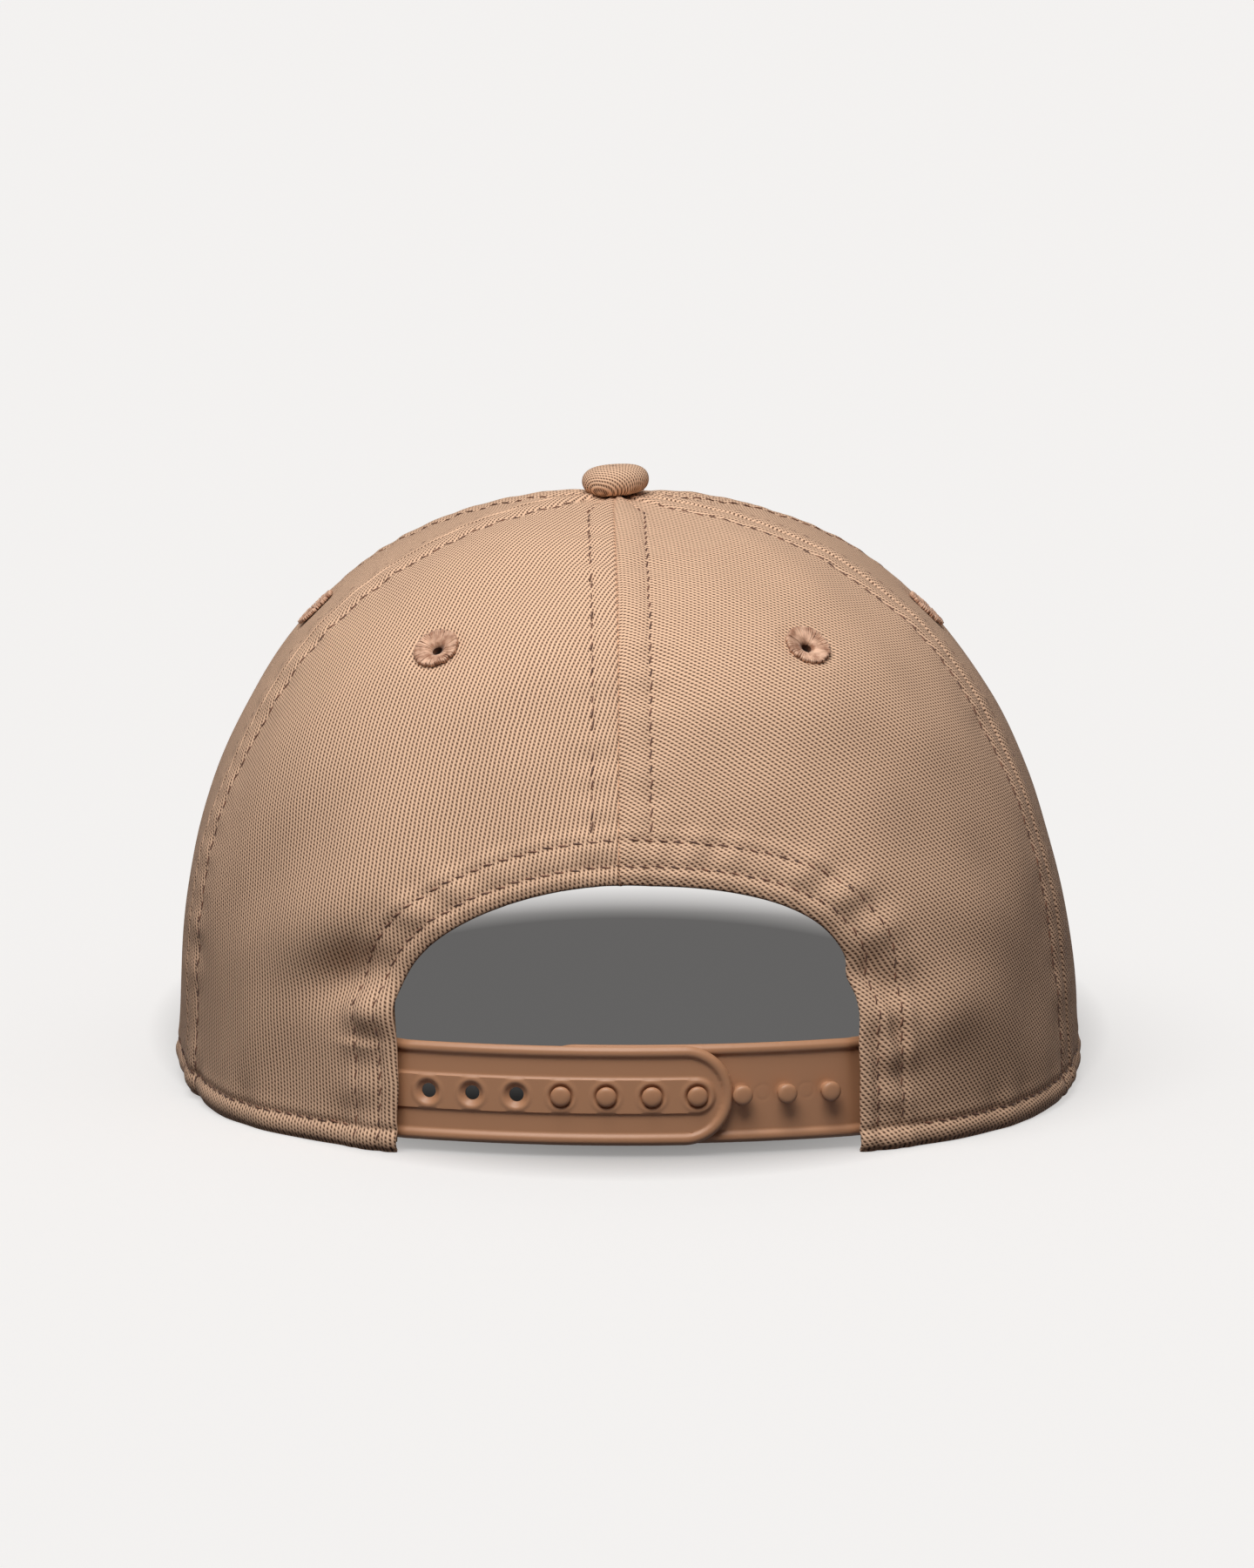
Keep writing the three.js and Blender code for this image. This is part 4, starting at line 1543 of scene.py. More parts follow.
@dataclass
class CrownLining:
    """What is sewn inside the crown: buckram behind the front, seam tapes, sweatband, facing and label."""

    form: CrownForm
    lining_inset: float = 1.9 * MM
    sweatband_inset: float = 3.1 * MM
    tape_half_width: float = 6 * MM
    tape_end_radius: float = 15 * MM
    sweatband_height: float = 32 * MM
    facing_width: float = 8 * MM

    def layer(
        self,
        name: str,
        azimuth: Array,
        rise: Array,
        inset: float,
        thickness: float,
        material: bpy.types.Material,
        uv: Array | None = None,
        extra: Array | float = 0.0,
    ) -> tuple[bpy.types.Object, float]:
        """Makes one layer from a grid.

        Args:
            name: The piece's name.
            azimuth: The grid's azimuths.
            rise: Its rise angles.
            inset: Its distance under the plain surface.
            thickness: The cloth's thickness.
            material: The finish.
            uv: The flat cloth's places, or None to measure them along the grid.
            extra: A small distance in, point by point.

        Returns:
            The piece and its area.
        """
        relief = np.clip(self.form.relief(azimuth, rise), -1.2 * MM, 0) * 0.8
        pattern = Pattern.from_rows(np.stack([azimuth, rise], -1))
        front = self.form.lining(azimuth, rise, inset - relief + extra)
        back = self.form.lining(azimuth, rise, inset - relief + extra + thickness)
        if uv is None:
            across = np.linalg.norm(np.diff(front, axis=1), axis=-1).mean(0)
            up = np.linalg.norm(np.diff(front, axis=0), axis=-1).mean(1)
            x = np.concatenate([[0.0], np.cumsum(across)])
            y = np.concatenate([[0.0], np.cumsum(up)])
            uv = np.stack(np.meshgrid(x, y), -1)
        flat = uv.reshape(-1, 2)
        piece = slab(name, pattern, front.reshape(-1, 3), back.reshape(-1, 3), material, flat, 0.5, 3)
        return piece, cloth_area(front.reshape(-1, 3), pattern.faces)

    def declare(self, piece: bpy.types.Object, nodes: list[str]) -> None:
        """Ties a sewn strip to the frame and reports it."""
        dress(piece, nodes)

    def buckram(self, side: Side, finishes: Finishes) -> bpy.types.Object:
        """Makes the stiff open cloth behind one front panel.

        Args:
            side: The half of the crown.
            finishes: The cap's finishes.

        Returns:
            The piece.
        """
        form = self.form
        share = np.linspace(0, 1, 60)
        low, high = 0.0, math.radians(60)
        middle = mix(low, high, share)
        bottom = form.rise_of(middle, form.rim_height(middle) + 1.5 * MM)
        top = form.rise_at(middle, self.tape_end_radius + 2 * MM)
        rise = mix(bottom, top, np.linspace(0, 1, 90)[:, None])
        radius = np.linalg.norm(form.outer(np.broadcast_to(middle, rise.shape), rise)[..., :2], axis=-1)
        margin = (self.tape_half_width + 0.3 * MM) / radius
        azimuth = mix(low + margin, high - margin, share) * side.value
        gore = GoreMap(form, math.radians(30) * side.value, 0.0, 0.0)
        flat = gore.flat(azimuth, rise)
        piece, area = self.layer(
            f"crown_buckram_{side.word}", azimuth, rise, self.lining_inset, 0.6 * MM, finishes.buckram, flat
        )
        dress(piece, [f"buckram_{side.word}"])
        return piece

    def tape(self, word: str, seam: float, low: float, finishes: Finishes) -> bpy.types.Object:
        """Makes the tape over one seam's allowances.

        Args:
            word: The seam's name.
            seam: Its azimuth.
            low: The height where the tape starts.
            finishes: The cap's finishes.

        Returns:
            The piece.
        """
        form = self.form
        start = float(form.rise_of(np.array(seam), np.array(low)))
        end = float(form.rise_at(np.array(seam), np.array(self.tape_end_radius)))
        rises, along = form.meridian(seam, start, end)
        rows = np.interp(np.linspace(0, along[-1], 110), along, rises)
        rise = np.repeat(rows[:, None], 11, axis=1)
        radius = np.linalg.norm(form.outer(np.full(rise.shape, seam), rise)[..., :2], axis=-1)
        share = np.linspace(-1, 1, 11)
        azimuth = seam + share * self.tape_half_width / radius
        seam_fold = 0.3 * MM * (1 - share**2) * np.ones_like(rise)
        ripple_out = 0.12 * MM * ripple(rise * 108 * MM, 9 * MM, int(abs(seam) * 10))
        piece, area = self.layer(
            f"tape_{word}_woven", azimuth, rise, self.lining_inset, 0.5 * MM, finishes.tape, None, seam_fold + ripple_out
        )
        self.declare(piece, [f"seam_tape_{word}"])
        return piece

    def sweatband(self, finishes: Finishes) -> bpy.types.Object:
        """Makes the band that lies against the head, with its top edge left free.

        Args:
            finishes: The cap's finishes.

        Returns:
            The piece.
        """
        form = self.form
        end = float(form.rear_azimuth(np.array([59.8 * MM]), np.array([6 * MM]))[0])
        azimuth = np.linspace(-end, end, 420)
        height = np.concatenate([[0.6, 1.0, 1.6], np.linspace(2.4, 30.5, 26), [31.0, 31.5, 32.0]]) * MM
        height = height[:, None] + form.rim_height(azimuth)
        grid = np.broadcast_to(azimuth, height.shape)
        rise = form.rise_of(grid, height)
        share = (height - form.rim_height(azimuth)) / self.sweatband_height
        along = np.broadcast_to(np.linspace(0, 540 * MM, 420), height.shape)
        slack = 0.5 * MM * ripple(along, 34 * MM, 9) * share**1.5 + 0.9 * MM * share**2
        hem = -0.25 * MM * bell(share, 0.9, 0.03)
        piece, area = self.layer(
            "sweatband_twill", grid, rise, self.sweatband_inset, 1.2 * MM, finishes.sweatband, None, slack + hem
        )
        self.declare(piece, ["sweatband"])
        return piece

    def facing(self, finishes: Finishes) -> bpy.types.Object:
        """Makes the tape that binds the arch inside.

        Args:
            finishes: The cap's finishes.

        Returns:
            The piece.
        """
        form = self.form
        spread = np.linspace(0.5 * MM, self.facing_width, 9)[:, None]
        top_x, top_z = form.arch_curve(spread, np.linspace(-1, 1, 140))
        leg = np.broadcast_to(np.linspace(1.5 * MM, form.arch_spring, 26)[:-1], (9, 25))
        x = np.concatenate([np.repeat(top_x[:, :1], 25, 1), top_x, np.repeat(top_x[:, -1:], 25, 1)], 1)
        z = np.concatenate([leg, top_z, leg[:, ::-1]], 1)
        azimuth = form.rear_azimuth(x, z)
        azimuth = np.where(azimuth < 0, azimuth + 2 * math.pi, azimuth)
        rise = form.rise_of(azimuth, z)
        wrapped = np.where(azimuth > math.pi, azimuth - 2 * math.pi, azimuth)
        piece, area = self.layer("arch_facing_tape", wrapped, rise, 1.85 * MM, 0.5 * MM, finishes.tape)
        self.declare(piece, ["arch_facing"])
        return piece

    def label(self, finishes: Finishes) -> bpy.types.Object:
        """Makes the blank label sewn to the inside of the sweatband.

        Args:
            finishes: The cap's finishes.

        Returns:
            The piece.
        """
        form = self.form
        middle = math.radians(-118)
        spread = 14 * MM / float(form.plan_radius(np.array(middle)))
        azimuth = np.broadcast_to(middle + np.linspace(-spread, spread, 24), (24, 24))
        height = np.broadcast_to(np.linspace(16 * MM, 44 * MM, 24)[:, None], (24, 24))
        rise = form.rise_of(azimuth, height)
        curl = 1.4 * MM * smooth(16 * MM, 40 * MM, 44 * MM + 16 * MM - height) + 0.9 * MM
        piece, _ = self.layer("care_label_blank", azimuth, rise, 4.9 * MM, 0.3 * MM, finishes.label, None, curl)
        self.declare(piece, ["care_label"])
        return piece

    def build(self, finishes: Finishes) -> list[bpy.types.Object]:
        """Makes everything inside the crown.

        Args:
            finishes: The cap's finishes.

        Returns:
            The pieces.
        """
        form = self.form
        made = [self.buckram(side, finishes) for side in Side]
        for side in Side:
            for word, seam in (("front", 60), ("rear", 109.5)):
                azimuth = math.radians(seam) * side.value
                low = float(form.rim_height(np.array(azimuth))) + 1.5 * MM
                made.append(self.tape(f"{word}_{side.word}", azimuth, low, finishes))
        front_low = float(form.rim_height(np.array(0.0))) + 1.5 * MM
        made.append(self.tape("centre_front", 0.0, front_low, finishes))
        above = form.arch_spring + form.arch_rise + self.facing_width + 0.6 * MM
        made.append(self.tape("centre_back", math.pi, above, finishes))
        return made + [self.sweatband(finishes), self.facing(finishes), self.label(finishes)]


@dataclass
class Button:
    """The cloth-covered button on top: a squat cushion over a pressed steel shell and its rivet."""

    form: CrownForm
    radius: float = 6.65 * MM
    height: float = 6.0 * MM
    tilt: float = math.radians(4)

    def axis(self) -> tuple[Array, Array]:
        """Finds the middle of the button's underside and the way it points."""
        place = self.form.settled(np.array([0.0, 0.0, self.form.height])) + np.array([0.0, 0.0, 0.2 * MM])
        return place, np.array([-math.sin(self.tilt), 0.0, math.cos(self.tilt)])

    def cover(self, finishes: Finishes) -> bpy.types.Object:
        """Makes the twill cover, drawn in under its edge.

        Args:
            finishes: The cap's finishes.

        Returns:
            The piece.
        """
        place, axis = self.axis()
        segments = 72
        turn = np.linspace(-0.5 * math.pi, 0.5 * math.pi, 30)
        half = self.height / 2
        radius = self.radius * (0.30 + 0.70 * np.cos(turn) ** 0.62)
        radius = np.where(turn > 0, self.radius * np.cos(turn) ** 0.55, radius)
        level = half + half * np.sin(turn) * 0.97
        inner_turn = turn[::-1]
        thick = 0.6 * MM
        inner_radius = np.maximum(radius[::-1] - thick, 0)
        inner_level = half + (level[::-1] - half) * (half - thick) / half
        profile = list(zip(radius[1:-1], level[1:-1])) + [(0.02 * MM, level[-1])]
        inside = [(0.02 * MM, inner_level[0])] + list(zip(inner_radius[1:-1], inner_level[1:-1]))
        points, faces = spin(profile + inside, place, axis, segments)
        rings = len(profile) + len(inside)
        last = (rings - 1) * segments
        faces += [(last + k, last + (k + 1) % segments, (k + 1) % segments, k) for k in range(segments)]
        angles = np.tile(np.arange(segments) * 2 * math.pi / segments, rings)
        reach = np.repeat([p[0] for p in profile + inside], segments)
        levels = np.repeat([p[1] for p in profile + inside], segments)
        low = smooth(0.5, 0.0, levels / self.height)
        pleat = 0.13 * MM * np.sin(angles * 11 + 0.7) * low + 0.1 * MM * np.sin(angles * 5) * low
        soft = 0.12 * MM * np.sin(angles * 3 + 1.1)
        away = points - place
        outwards = unit(away - np.outer(away @ axis, axis))
        points = points + outwards * np.where(reach > MM, pleat + soft, 0)[:, None]
        run = reach + (self.height - levels)
        uv = np.stack([run * np.cos(angles + 0.5), run * np.sin(angles + 0.5)], -1)
        piece = make_piece("button_cover_twill", points, faces, finishes.twill, uv)
        turn_out(piece)
        dress(piece, ["button_cover"])
        return piece

    def rivet(self, finishes: Finishes) -> bpy.types.Object:
        """Makes the steel shell inside the cover, its post and the clenched end inside the crown.

        Args:
            finishes: The cap's finishes.

        Returns:
            The piece.
        """
        place, axis = self.axis()
        radius, under = self.radius - 0.75 * MM, -2.2 * MM
        profile = [
            (0.01 * MM, under - 1.1 * MM),
            (3.4 * MM, under - 1.05 * MM),
            (4.5 * MM, under - 0.6 * MM),
            (4.6 * MM, under - 0.2 * MM),
            (4.2 * MM, under),
            (1.4 * MM, under),
            (1.4 * MM, 0.9 * MM),
            (radius - 1.2 * MM, 0.9 * MM),
            (radius - 0.4 * MM, 1.6 * MM),
            (radius - 0.3 * MM, 3.2 * MM),
            (radius - 1.4 * MM, 4.7 * MM),
            (0.01 * MM, 5.1 * MM),
        ]
        points, faces = spin(profile, place, axis, 40)
        piece = make_piece("button_rivet_steel", points, faces, finishes.steel, None, 40)
        turn_out(piece)
        dress(piece, ["button_shell", "button_stud"])
        return piece

    def build(self, finishes: Finishes) -> list[bpy.types.Object]:
        """Makes the button.

        Args:
            finishes: The cap's finishes.

        Returns:
            The pieces.
        """
        return [self.cover(finishes), self.rivet(finishes)]


# ---- The visor ------------------------------------------------------------------------------------


@dataclass
class Visor:
    """The curved visor: a moulded board between two twill covers, quilted with rows of stitches."""

    form: CrownForm
    side_reach: float = 4.3 * MM
    corner_reach: float = 1.6 * MM
    reach: float = 69 * MM
    squareness: float = 2.25
    side_turn: float = math.radians(88)
    thickness: float = 3.6 * MM
    cover: float = 0.6 * MM
    rows: int = 8

    def outline(self, across: Array) -> tuple[Array, Array]:
        """The visor's inner and outer edges.

        Args:
            across: Shares from -1 to 1 between the corners.

        Returns:
            Places of the inner edge, then of the outer, round the crown's axis.
        """
        form = self.form
        azimuth = across * form.visor_end
        rise = form.rise_of(azimuth, form.rim_height(azimuth))
        wall = form.outer(azimuth, rise)[..., :2]
        inner = wall * (1 + 0.35 * MM / np.linalg.norm(wall, axis=-1, keepdims=True))
        corner = form.outer(np.array(form.visor_end), np.array(0.0))
        turn = across * self.side_turn
        power = 2 / self.squareness
        half = corner[0] + self.side_reach
        shoulder = corner[1] + self.corner_reach
        long = form.front_reach + self.reach - shoulder
        x = half * np.sign(turn) * np.abs(np.sin(turn)) ** power
        return inner, np.stack([x, shoulder + long * np.cos(turn) ** power], -1)

    def place(self, across: Array, share: Array, over: Array | float) -> Array:
        """Places points on the visor.

        Args:
            across: Shares from -1 to 1 between the corners.
            share: Shares from 0 at the crown to 1 at the edge.
            over: Heights over the visor's lower surface.

        Returns:
            Points in the frame.
        """
        inner, outer = self.outline(across)
        flat = inner + (outer - inner) * share[..., None]
        z = self.form.visor_floor(flat[..., 0], flat[..., 1]) + over
        return self.form.settled(np.concatenate([flat, z[..., None]], -1))

    def quilting(self, across: Array, share: Array) -> Array:
        """How far the cover sinks and swells along the rows of stitches."""
        inner, outer = self.outline(across)
        run = np.linalg.norm(outer - inner, axis=-1)
        lift = np.zeros_like(run)
        for k in range(self.rows):
            away = (1 - share) * run - self.row_distance(k)
            lift += -0.3 * MM * bell(away, 0, 0.8 * MM)
        return lift + 0.12 * MM * ripple(across * 150 * MM, 8 * MM, 3)

    def row_distance(self, k: int) -> float:
        """How far a row of stitches lies from the edge."""
        return (5 + 6.2 * k) * MM

    def cover_piece(self, top: bool, finishes: Finishes) -> bpy.types.Object:
        """Makes the upper or the lower cover, which meet round the edge.

        Args:
            top: Whether it is the upper one.
            finishes: The cap's finishes.

        Returns:
            The piece.
        """
        across = np.linspace(-1, 1, 230)
        inner, outer = self.outline(across)
        run = np.maximum(np.linalg.norm(outer - inner, axis=-1), 1e-4)
        flat_part = np.linspace(0, 1, 84)
        half = self.thickness / 2
        bend = np.linspace(0, 1, 8)[1:] * (0.62 if top else 0.3) * math.pi
        grid_across = np.broadcast_to(across, (len(flat_part) + len(bend), len(across)))
        rows_share, rows_over, rows_in = [], [], []
        setback = np.minimum(half, run * 0.3)
        for s in flat_part:
            sink = self.quilting(across, np.full(across.shape, s)) * smooth(0, 0.06, s)
            rows_share.append(s * (1 - setback / run))
            rows_over.append((self.thickness + sink) if top else -sink * 0.8 + np.zeros_like(run))
            rows_in.append(self.cover + np.zeros_like(run))
        for angle in bend:
            rows_share.append(1 - setback / run + math.sin(angle) * setback / run)
            rows_over.append(half + half * math.cos(angle) * (1 if top else -1) + np.zeros_like(run))
            rows_in.append(self.cover + np.zeros_like(run))
        share, over = np.array(rows_share), np.array(rows_over)
        front = self.place(grid_across, share, over)
        up = np.gradient(front, axis=0)
        side = np.gradient(front, axis=1)
        normal = unit(np.cross(side, up)) * (1 if top else -1)
        back = front - normal * self.cover
        pattern = Pattern.from_rows(np.stack([grid_across, share], -1))
        x = front[..., 0]
        y = np.cumsum(np.linalg.norm(np.diff(front, axis=0, prepend=front[:1]), axis=-1), axis=0)
        uv = np.stack([(x + y + inner[:, 1]) * 0.7071, (y + inner[:, 1] - x) * 0.7071], -1).reshape(-1, 2)
        name = "visor_cover_top" if top else "visor_cover_under"
        points = front.reshape(-1, 3)
        piece = slab(name, pattern, points, back.reshape(-1, 3), finishes.twill, uv, 0.5, 3)
        dress(piece, ["visor_top_cover" if top else "visor_under_cover"])
        return piece

    def board(self, finishes: Finishes) -> bpy.types.Object:
        """Makes the moulded board between the covers.

        Args:
            finishes: The cap's finishes.

        Returns:
            The piece.
        """
        across = np.linspace(-0.95, 0.95, 120)
        inner, outer = self.outline(across)
        limit = np.clip(1 - 3.0 * MM / np.linalg.norm(outer - inner, axis=-1), 0.2, 0.97)
        share = np.linspace(0.01, 1, 40)[:, None] * limit
        grid = np.broadcast_to(across, share.shape)
        pattern = Pattern.from_rows(np.stack([grid, share], -1))
        front = self.place(grid, share, 2.65 * MM).reshape(-1, 3)
        back = self.place(grid, share, 0.95 * MM).reshape(-1, 3)
        piece = slab("visor_board_moulded", pattern, front, back, finishes.board, pattern.places, 0.5, 4)
        dress(piece, ["visor_board"])
        return piece

    def stitching(self, finishes: Finishes) -> list[bpy.types.Object]:
        """Makes the rows of stitches, above and below.

        Args:
            finishes: The cap's finishes.

        Returns:
            The pieces.
        """
        made = []
        across = np.linspace(-1, 1, 1200)
        inner, outer = self.outline(across)
        run = np.linalg.norm(outer - inner, axis=-1)
        for word, over, way in (("top", self.thickness + 0.02 * MM, 1), ("under", -0.02 * MM, -1)):
            rows = []
            for k in range(self.rows):
                share = 1 - self.row_distance(k) / np.maximum(run, 1e-5)
                used = share > 0.03
                if used.sum() < 20:
                    continue
                line = self.place(across[used], share[used], over - way * 0.22 * MM)
                ups = np.broadcast_to(np.array([0.0, 0.0, float(way)]), line.shape)
                rows.append(StitchRow(line, ups))
            piece = sew(f"stitching_visor_{word}", rows, finishes.stitch, 90 + way)
            dress(piece, [])
            made.append(piece)
        return made

    def build(self, finishes: Finishes) -> list[bpy.types.Object]:
        """Makes the visor.

        Args:
            finishes: The cap's finishes.

        Returns:
            The pieces.
        """
        covers = [self.cover_piece(True, finishes), self.cover_piece(False, finishes)]
        return covers + [self.board(finishes)] + self.stitching(finishes)


# ---- The strap ------------------------------------------------------------------------------------


class StrapKind(Enum):
    """The two moulded straps, with the sign of the end that is sewn in."""

    HOLED = -1
    PEG = 1


@dataclass
class SnapStrap:
    """One of the two moulded straps that snap together over the arch.

    It is one piece with the tab that is sewn in behind the rear panel.
    """

    form: CrownForm
    kind: StrapKind
    radius: float = 132 * MM
    centre_y: float = 2.304 * MM
    layer: float = 1.65 * MM
    middle: float = 11.35 * MM
    half: float = 9.25 * MM
    end: float = 19.6 * MM
    tab_end: float = 60.6 * MM
    thickness: float = 1.3 * MM
    pitch: float = 8.56 * MM
    stations: int = 10
    used: int = 7
    bead: float = 1.9 * MM
    recess: float = 0.55 * MM
    rib_half: float = 3.6 * MM
    hole: float = 1.5 * MM
    countersink: float = 2.4 * MM
    grid: float = 0.33 * MM

    @property
    def depth(self) -> float:
        """How far the strap's outer face lies under that of the holed strap."""
        return self.layer if self.kind is StrapKind.PEG else 0.0

    def station(self, k: float) -> float:
        """The distance of a hole or peg from the middle plane, round the arc."""
        return (k - (self.stations - 1) / 2) * self.pitch

    def place(self, along: Array, z: Array, out: Array | float) -> Array:
        """Places points on the strap.

        Args:
            along: Distances round the arc from the middle plane.
            z: Heights.
            out: Distances out from the strap's outer face.

        Returns:
            Points in the frame.
        """
        turn = along / self.radius
        outwards = np.stack([np.sin(turn), -np.cos(turn), np.zeros_like(turn)], -1)
        reach = self.radius - self.depth
        arc = outwards * reach + np.array([0.0, self.centre_y, 0.0])
        arc[..., 2] = z
        x = self.radius * np.sin(turn)
        azimuth = self.form.rear_azimuth(x, z)
        rise = self.form.rise_of(azimuth, z)
        normal = self.form.normal(azimuth, rise)
        normal[..., 2] = 0
        tab = self.form.outer(azimuth, rise) - unit(normal) * (2.75 * MM + self.depth)
        tab[..., 1] += self.form.centre_y
        share = smooth(41.0 * MM, 45.5 * MM, np.abs(x))[..., None]
        base = mix(arc, tab, share)
        return base + unit(mix(outwards, unit(normal), share)) * np.asarray(out)[..., None]

    def inside(self, along: Array, z: Array) -> Array:
        """How far a place is inside the strap's outline."""
        way = -self.kind.value * along
        beyond = np.maximum(way - (self.end - self.half), 0)
        side = self.half - np.hypot(beyond, z - self.middle)
        corner = self.tab_end + way
        return np.minimum(side, corner)

    def hole_distance(self, along: Array, z: Array, numbers: Sequence[float]) -> Array:
        """How far a place is from the nearest of some stations."""
        away = np.full(np.shape(along), 1.0)
        for k in numbers:
            away = np.minimum(away, np.hypot(along - self.station(k), z - self.middle))
        return away

    def kept(self, places: Array) -> Array:
        """The distance of each place from what is cut away, below 0 inside it."""
        along, z = places.T
        value = self.inside(along, z)
        if self.kind is StrapKind.HOLED:
            value = np.minimum(value, self.hole_distance(along, z, range(self.used)) - self.hole)
        return value

    def relief(self, along: Array, z: Array) -> Array:
        """The moulded height of the strap's outer face: beads, rib, countersinks and pin marks.

        Args:
            along: Distances round the arc.
            z: Heights.

        Returns:
            Heights over the outer face, mostly below 0.
        """
        edge = self.inside(along, z)
        lift = np.full(along.shape, -self.recess)
        round_part = np.clip(1 - ((edge - self.bead / 2) / (self.bead / 2)) ** 2, 0, 1)
        lift = np.maximum(lift, -self.recess + (self.recess + 0.1 * MM) * np.sqrt(round_part))
        way = -self.kind.value * along
        last = self.station(self.used - 1) if self.kind is StrapKind.HOLED else -self.station(3)
        beyond = np.maximum(way - last, 0)
        if self.kind is StrapKind.HOLED:
            rib = self.rib_half - np.hypot(beyond, z - self.middle)
            lift = np.maximum(lift, -self.recess + 0.45 * MM * smooth(0, 0.45 * MM, rib))
            away = self.hole_distance(along, z, range(self.used))
            lift += 0.16 * MM * bell(away, self.countersink + 0.35 * MM, 0.32 * MM)
            lift += -0.75 * MM * (1 - smooth(self.hole, self.countersink, away))
            return lift
        pins = self.hole_distance(along, z, [6.5, 7.5, 8.5])
        lift += -0.07 * MM * bell(pins, 1.5 * MM, 0.16 * MM)
        roots = self.hole_distance(along, z, range(self.stations - self.used, self.stations))
        return lift + 0.15 * MM * (1 - smooth(1.3 * MM, 1.9 * MM, roots))

    def plate(self, finishes: Finishes) -> bpy.types.Object:
        """Makes the strap without its pegs.

        Args:
            finishes: The cap's finishes.

        Returns:
            The mesh.
        """
        way = -self.kind.value
        ends = sorted([-way * (self.tab_end + 0.5 * MM), way * (self.end + 0.5 * MM)])
        columns = np.arange(ends[0], ends[1], self.grid)
        rows = np.linspace(self.middle - self.half - 0.3 * MM, self.middle + self.half + 0.3 * MM, 64)
        pattern = Pattern.from_rows(np.stack(np.meshgrid(columns, rows), -1))
        pattern.cut(self.kept, 0.03 * MM)
        along, z = pattern.places.T
        front = self.place(along, z, self.relief(along, z))
        back = self.place(along, z, -self.thickness)
        return slab("plate", pattern, front, back, finishes.strap, pattern.places, 0.3)

    def pegs(self, finishes: Finishes) -> list[bpy.types.Object]:
        """Makes the pegs.

        Args:
            finishes: The cap's finishes.

        Returns:
            The meshes.
        """
        profile = [
            (0.01 * MM, -0.6 * MM),
            (1.5 * MM, -0.6 * MM),
            (1.45 * MM, 0.0),
            (1.28 * MM, 0.35 * MM),
            (1.25 * MM, 1.35 * MM),
            (1.5 * MM, 1.5 * MM),
            (1.86 * MM, 1.62 * MM),
            (1.93 * MM, 1.8 * MM),
            (1.86 * MM, 2.05 * MM),
            (1.6 * MM, 2.3 * MM),
            (1.15 * MM, 2.45 * MM),
            (0.6 * MM, 2.5 * MM),
            (0.01 * MM, 2.51 * MM),
        ]
        made = []
        for k in range(self.stations - self.used, self.stations):
            turn = self.station(k) / self.radius
            place = self.place(np.array(self.station(k)), np.array(self.middle), 0.0)
            points, faces = spin(profile, place, np.array([math.sin(turn), -math.cos(turn), 0.0]), 32)
            made.append(make_piece(f"peg{k}", points, faces, finishes.strap, points[:, :2]))
        return made

    def build(self, finishes: Finishes) -> bpy.types.Object:
        """Makes the strap, with its pegs on the peg strap, and bakes its place into its mesh.

        Args:
            finishes: The cap's finishes.

        Returns:
            The piece.
        """
        name = self.kind.name.lower()
        parts = [self.plate(finishes)]
        if self.kind is StrapKind.PEG:
            parts += self.pegs(finishes)
        piece = join_pieces(f"snap_strap_{name}", parts)
        turn_out(piece)
        finish_shading(piece, 48)
        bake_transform(piece)
        dress(piece, [f"{name}_strap", f"{name}_strap_tab"], "")
        return piece


# ---- The stage ------------------------------------------------------------------------------------


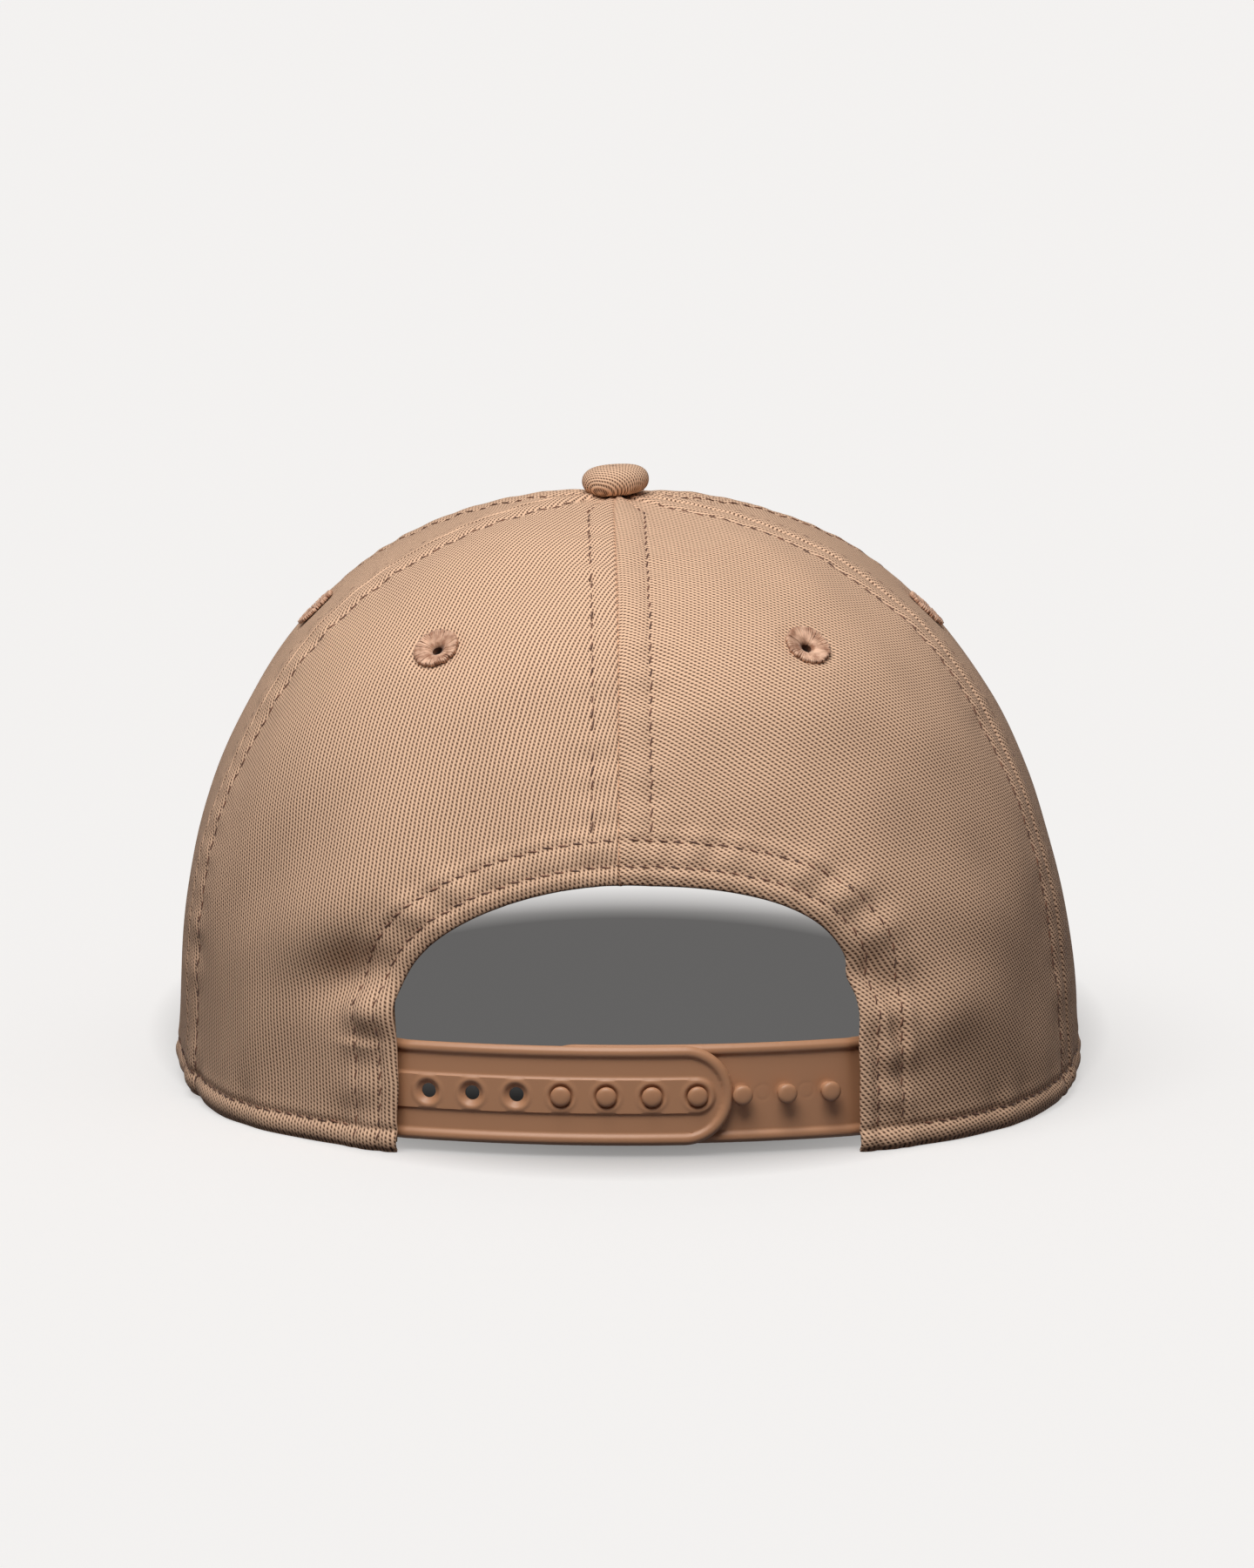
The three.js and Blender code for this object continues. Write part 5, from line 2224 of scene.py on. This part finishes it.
@dataclass
class Studio:
    """A plain pale floor with a painted shadow round and under the cap, soft light from above on the left, and the
    camera.
    """

    floor_size: float = 60.0
    target: tuple[float, float, float] = (-0.0004, -0.042, 0.0567)
    distance: float = 1.3
    elevation: float = math.radians(9.1)
    lens: float = 187.1
    floor_colour: str = "#D8D8D8"
    painted_shadow_colour: str = "#4A4340"
    sky: float = 0.33
    ground: float = 0.04
    ground_colour: str = "#9C5A30"
    glow: float = 0.6
    sun: float = 0.9
    sun_from: tuple[float, float, float] = (-0.27, -0.44, 1.3)
    sun_angle: float = math.radians(50)
    key: float = 1.7
    key_place: tuple[float, float, float] = (-0.05, -0.36, 0.455)
    key_colour: tuple[float, float, float] = (1.0, 0.955, 0.905)
    key_size: float = 0.32

    def build(self) -> None:
        """Sets up the floor, the lights and the camera."""
        scene = bpy.context.scene
        scene.view_settings.view_transform = "Standard"
        half = self.floor_size / 2
        corners = np.array([(-half, -half, 0), (half, -half, 0), (half, half, 0), (-half, half, 0)])
        shade = {
            "Roughness": 1.0,
            "Specular IOR Level": 0.0,
            "Emission Color": linear("#F3F1EF"),
        }
        paper, shader = new_material("paper_backdrop_matt_painted_shadow", shade)
        tree = paper.node_tree
        # The floor glows evenly away from the cap; in an oval round the cap its glow drops as a painted shadow.
        place = add_node(tree, "TexCoord").outputs["Object"]
        near = {"Vector": place, "Location": (0.0, -0.06, 0.0), "Scale": (1 / 0.1, 1 / 0.16, 1.0)}
        away = add_node(tree, "Mapping", near).outputs["Vector"]
        reach = add_node(tree, "VectorMath", {0: away}, operation="LENGTH").outputs["Value"]
        # Inside the oval the glow is only a faint painted light, dimmer towards the back, standing for the shade under
        # the crown.
        behind = {"Value": add_node(tree, "SeparateXYZ", {0: place}).outputs["Y"]}
        behind |= {"From Min": -0.075, "From Max": -0.03, "To Min": 0.02, "To Max": 0.14}
        under = add_node(tree, "MapRange", behind).outputs["Result"]
        glow = {"Value": reach, "From Min": 0.7, "From Max": 1.0, "To Min": under, "To Max": self.glow}
        tree.links.new(add_node(tree, "MapRange", glow).outputs["Result"], shader.inputs["Emission Strength"])
        # The base colour darkens to the painted shadow colour inside the same oval round the cap.
        lit = add_node(tree, "MapRange", {"Value": reach, "From Min": 0.7, "From Max": 1.0}).outputs["Result"]
        tone = {"Fac": lit, "Color1": linear(self.painted_shadow_colour), "Color2": linear(self.floor_colour)}
        tree.links.new(add_node(tree, "MixRGB", tone).outputs["Color"], shader.inputs["Base Color"])
        floor = make_piece("floor", corners, [(0, 1, 2, 3)], paper)
        floor.location = (0.0, 0.0, -0.0002)
        floor.visible_diffuse = False
        world = bpy.data.worlds.new("studio")
        world.use_nodes = True
        tree = world.node_tree
        way = add_node(tree, "SeparateXYZ", {0: add_node(tree, "TexCoord").outputs["Generated"]})
        height = add_node(tree, "MapRange", {"Value": way.outputs["Z"], "From Min": -0.1, "From Max": 0.75})
        share = height.outputs["Result"]
        glow = add_node(tree, "MapRange", {"Value": share, "To Min": self.ground, "To Max": self.sky})
        tint = {"Fac": share, "Color1": linear(self.ground_colour), "Color2": linear("#FFFFFF")}
        background = tree.nodes["Background"]
        tree.links.new(glow.outputs["Result"], background.inputs["Strength"])
        tree.links.new(add_node(tree, "MixRGB", tint).outputs["Color"], background.inputs["Color"])
        scene.world = world
        sun = self.lamp("sun", "SUN", self.sun, self.sun_from, (0.0, 0.0, 0.0))
        sun.data.angle = self.sun_angle
        key = self.lamp("key", "AREA", self.key, self.key_place, self.target)
        key.data.color = self.key_colour
        key.data.shape = "DISK"
        key.data.size = self.key_size
        unlit = bpy.data.collections.new("unlit")
        unlit.objects.link(floor)
        unlit.collection_objects[0].light_linking.link_state = "EXCLUDE"
        key.light_linking.receiver_collection = unlit
        lens = bpy.data.cameras.new("camera")
        lens.lens = self.lens
        lens.sensor_width = 36
        lens.sensor_fit = "HORIZONTAL"
        camera = bpy.data.objects.new("camera", lens)
        away = Vector((0, -math.cos(self.elevation), math.sin(self.elevation))) * self.distance
        camera.location = Vector(self.target) + away
        camera.rotation_euler = (-away).to_track_quat("-Z", "Y").to_euler()
        bpy.context.collection.objects.link(camera)
        scene.camera = camera

    def lamp(
        self, name: str, kind: str, energy: float, place: Sequence[float], target: Sequence[float]
    ) -> bpy.types.Object:
        """Hangs a lamp.

        Args:
            name: Its name.
            kind: Blender's kind of lamp.
            energy: Its power.
            place: Where it hangs.
            target: The place it lights.

        Returns:
            The lamp.
        """
        light = bpy.data.lights.new(name, kind)
        light.energy = energy
        lamp = bpy.data.objects.new(name, light)
        lamp.location = place
        lamp.rotation_euler = (Vector(target) - Vector(place)).to_track_quat("-Z", "Y").to_euler()
        bpy.context.collection.objects.link(lamp)
        return lamp


# ---- The whole cap --------------------------------------------------------------------------------


@dataclass
class BaseballCap:
    """The whole cap, built in the order in which it is sewn."""

    form: CrownForm
    finishes: Finishes
    grains: dict[tuple[Zone, Side], float]

    def build(self) -> None:
        """Builds every sub-assembly and reports its pieces."""
        for (zone, side), grain in self.grains.items():
            spacing = 0.8 * MM if zone is Zone.REAR else 1.1 * MM
            CrownPanel(self.form, zone, side, grain, spacing).build(self.finishes)
            SewnEyelet(self.form, zone.eyelet * side.value, f"{zone.name.lower()}_{side.word}").build(self.finishes)
        CrownStitching(self.form).build(self.finishes)
        CrownLining(self.form).build(self.finishes)
        Button(self.form).build(self.finishes)
        Visor(self.form).build(self.finishes)
        for kind in StrapKind:
            SnapStrap(self.form, kind).build(self.finishes)


def main() -> None:
    """Builds the cap on its stage."""
    logging.basicConfig(level=logging.INFO, format="%(message)s")
    grains = {
        (Zone.FRONT, Side.LEFT): -40.0,
        (Zone.FRONT, Side.RIGHT): -5.0,
        (Zone.SIDE, Side.LEFT): -20.0,
        (Zone.SIDE, Side.RIGHT): -40.0,
        (Zone.REAR, Side.LEFT): -5.0,
        (Zone.REAR, Side.RIGHT): -40.0,
    }
    BaseballCap(CrownForm.from_frame(), Finishes(), grains).build()
    Studio().build()


if __name__ == "__main__":
    main()
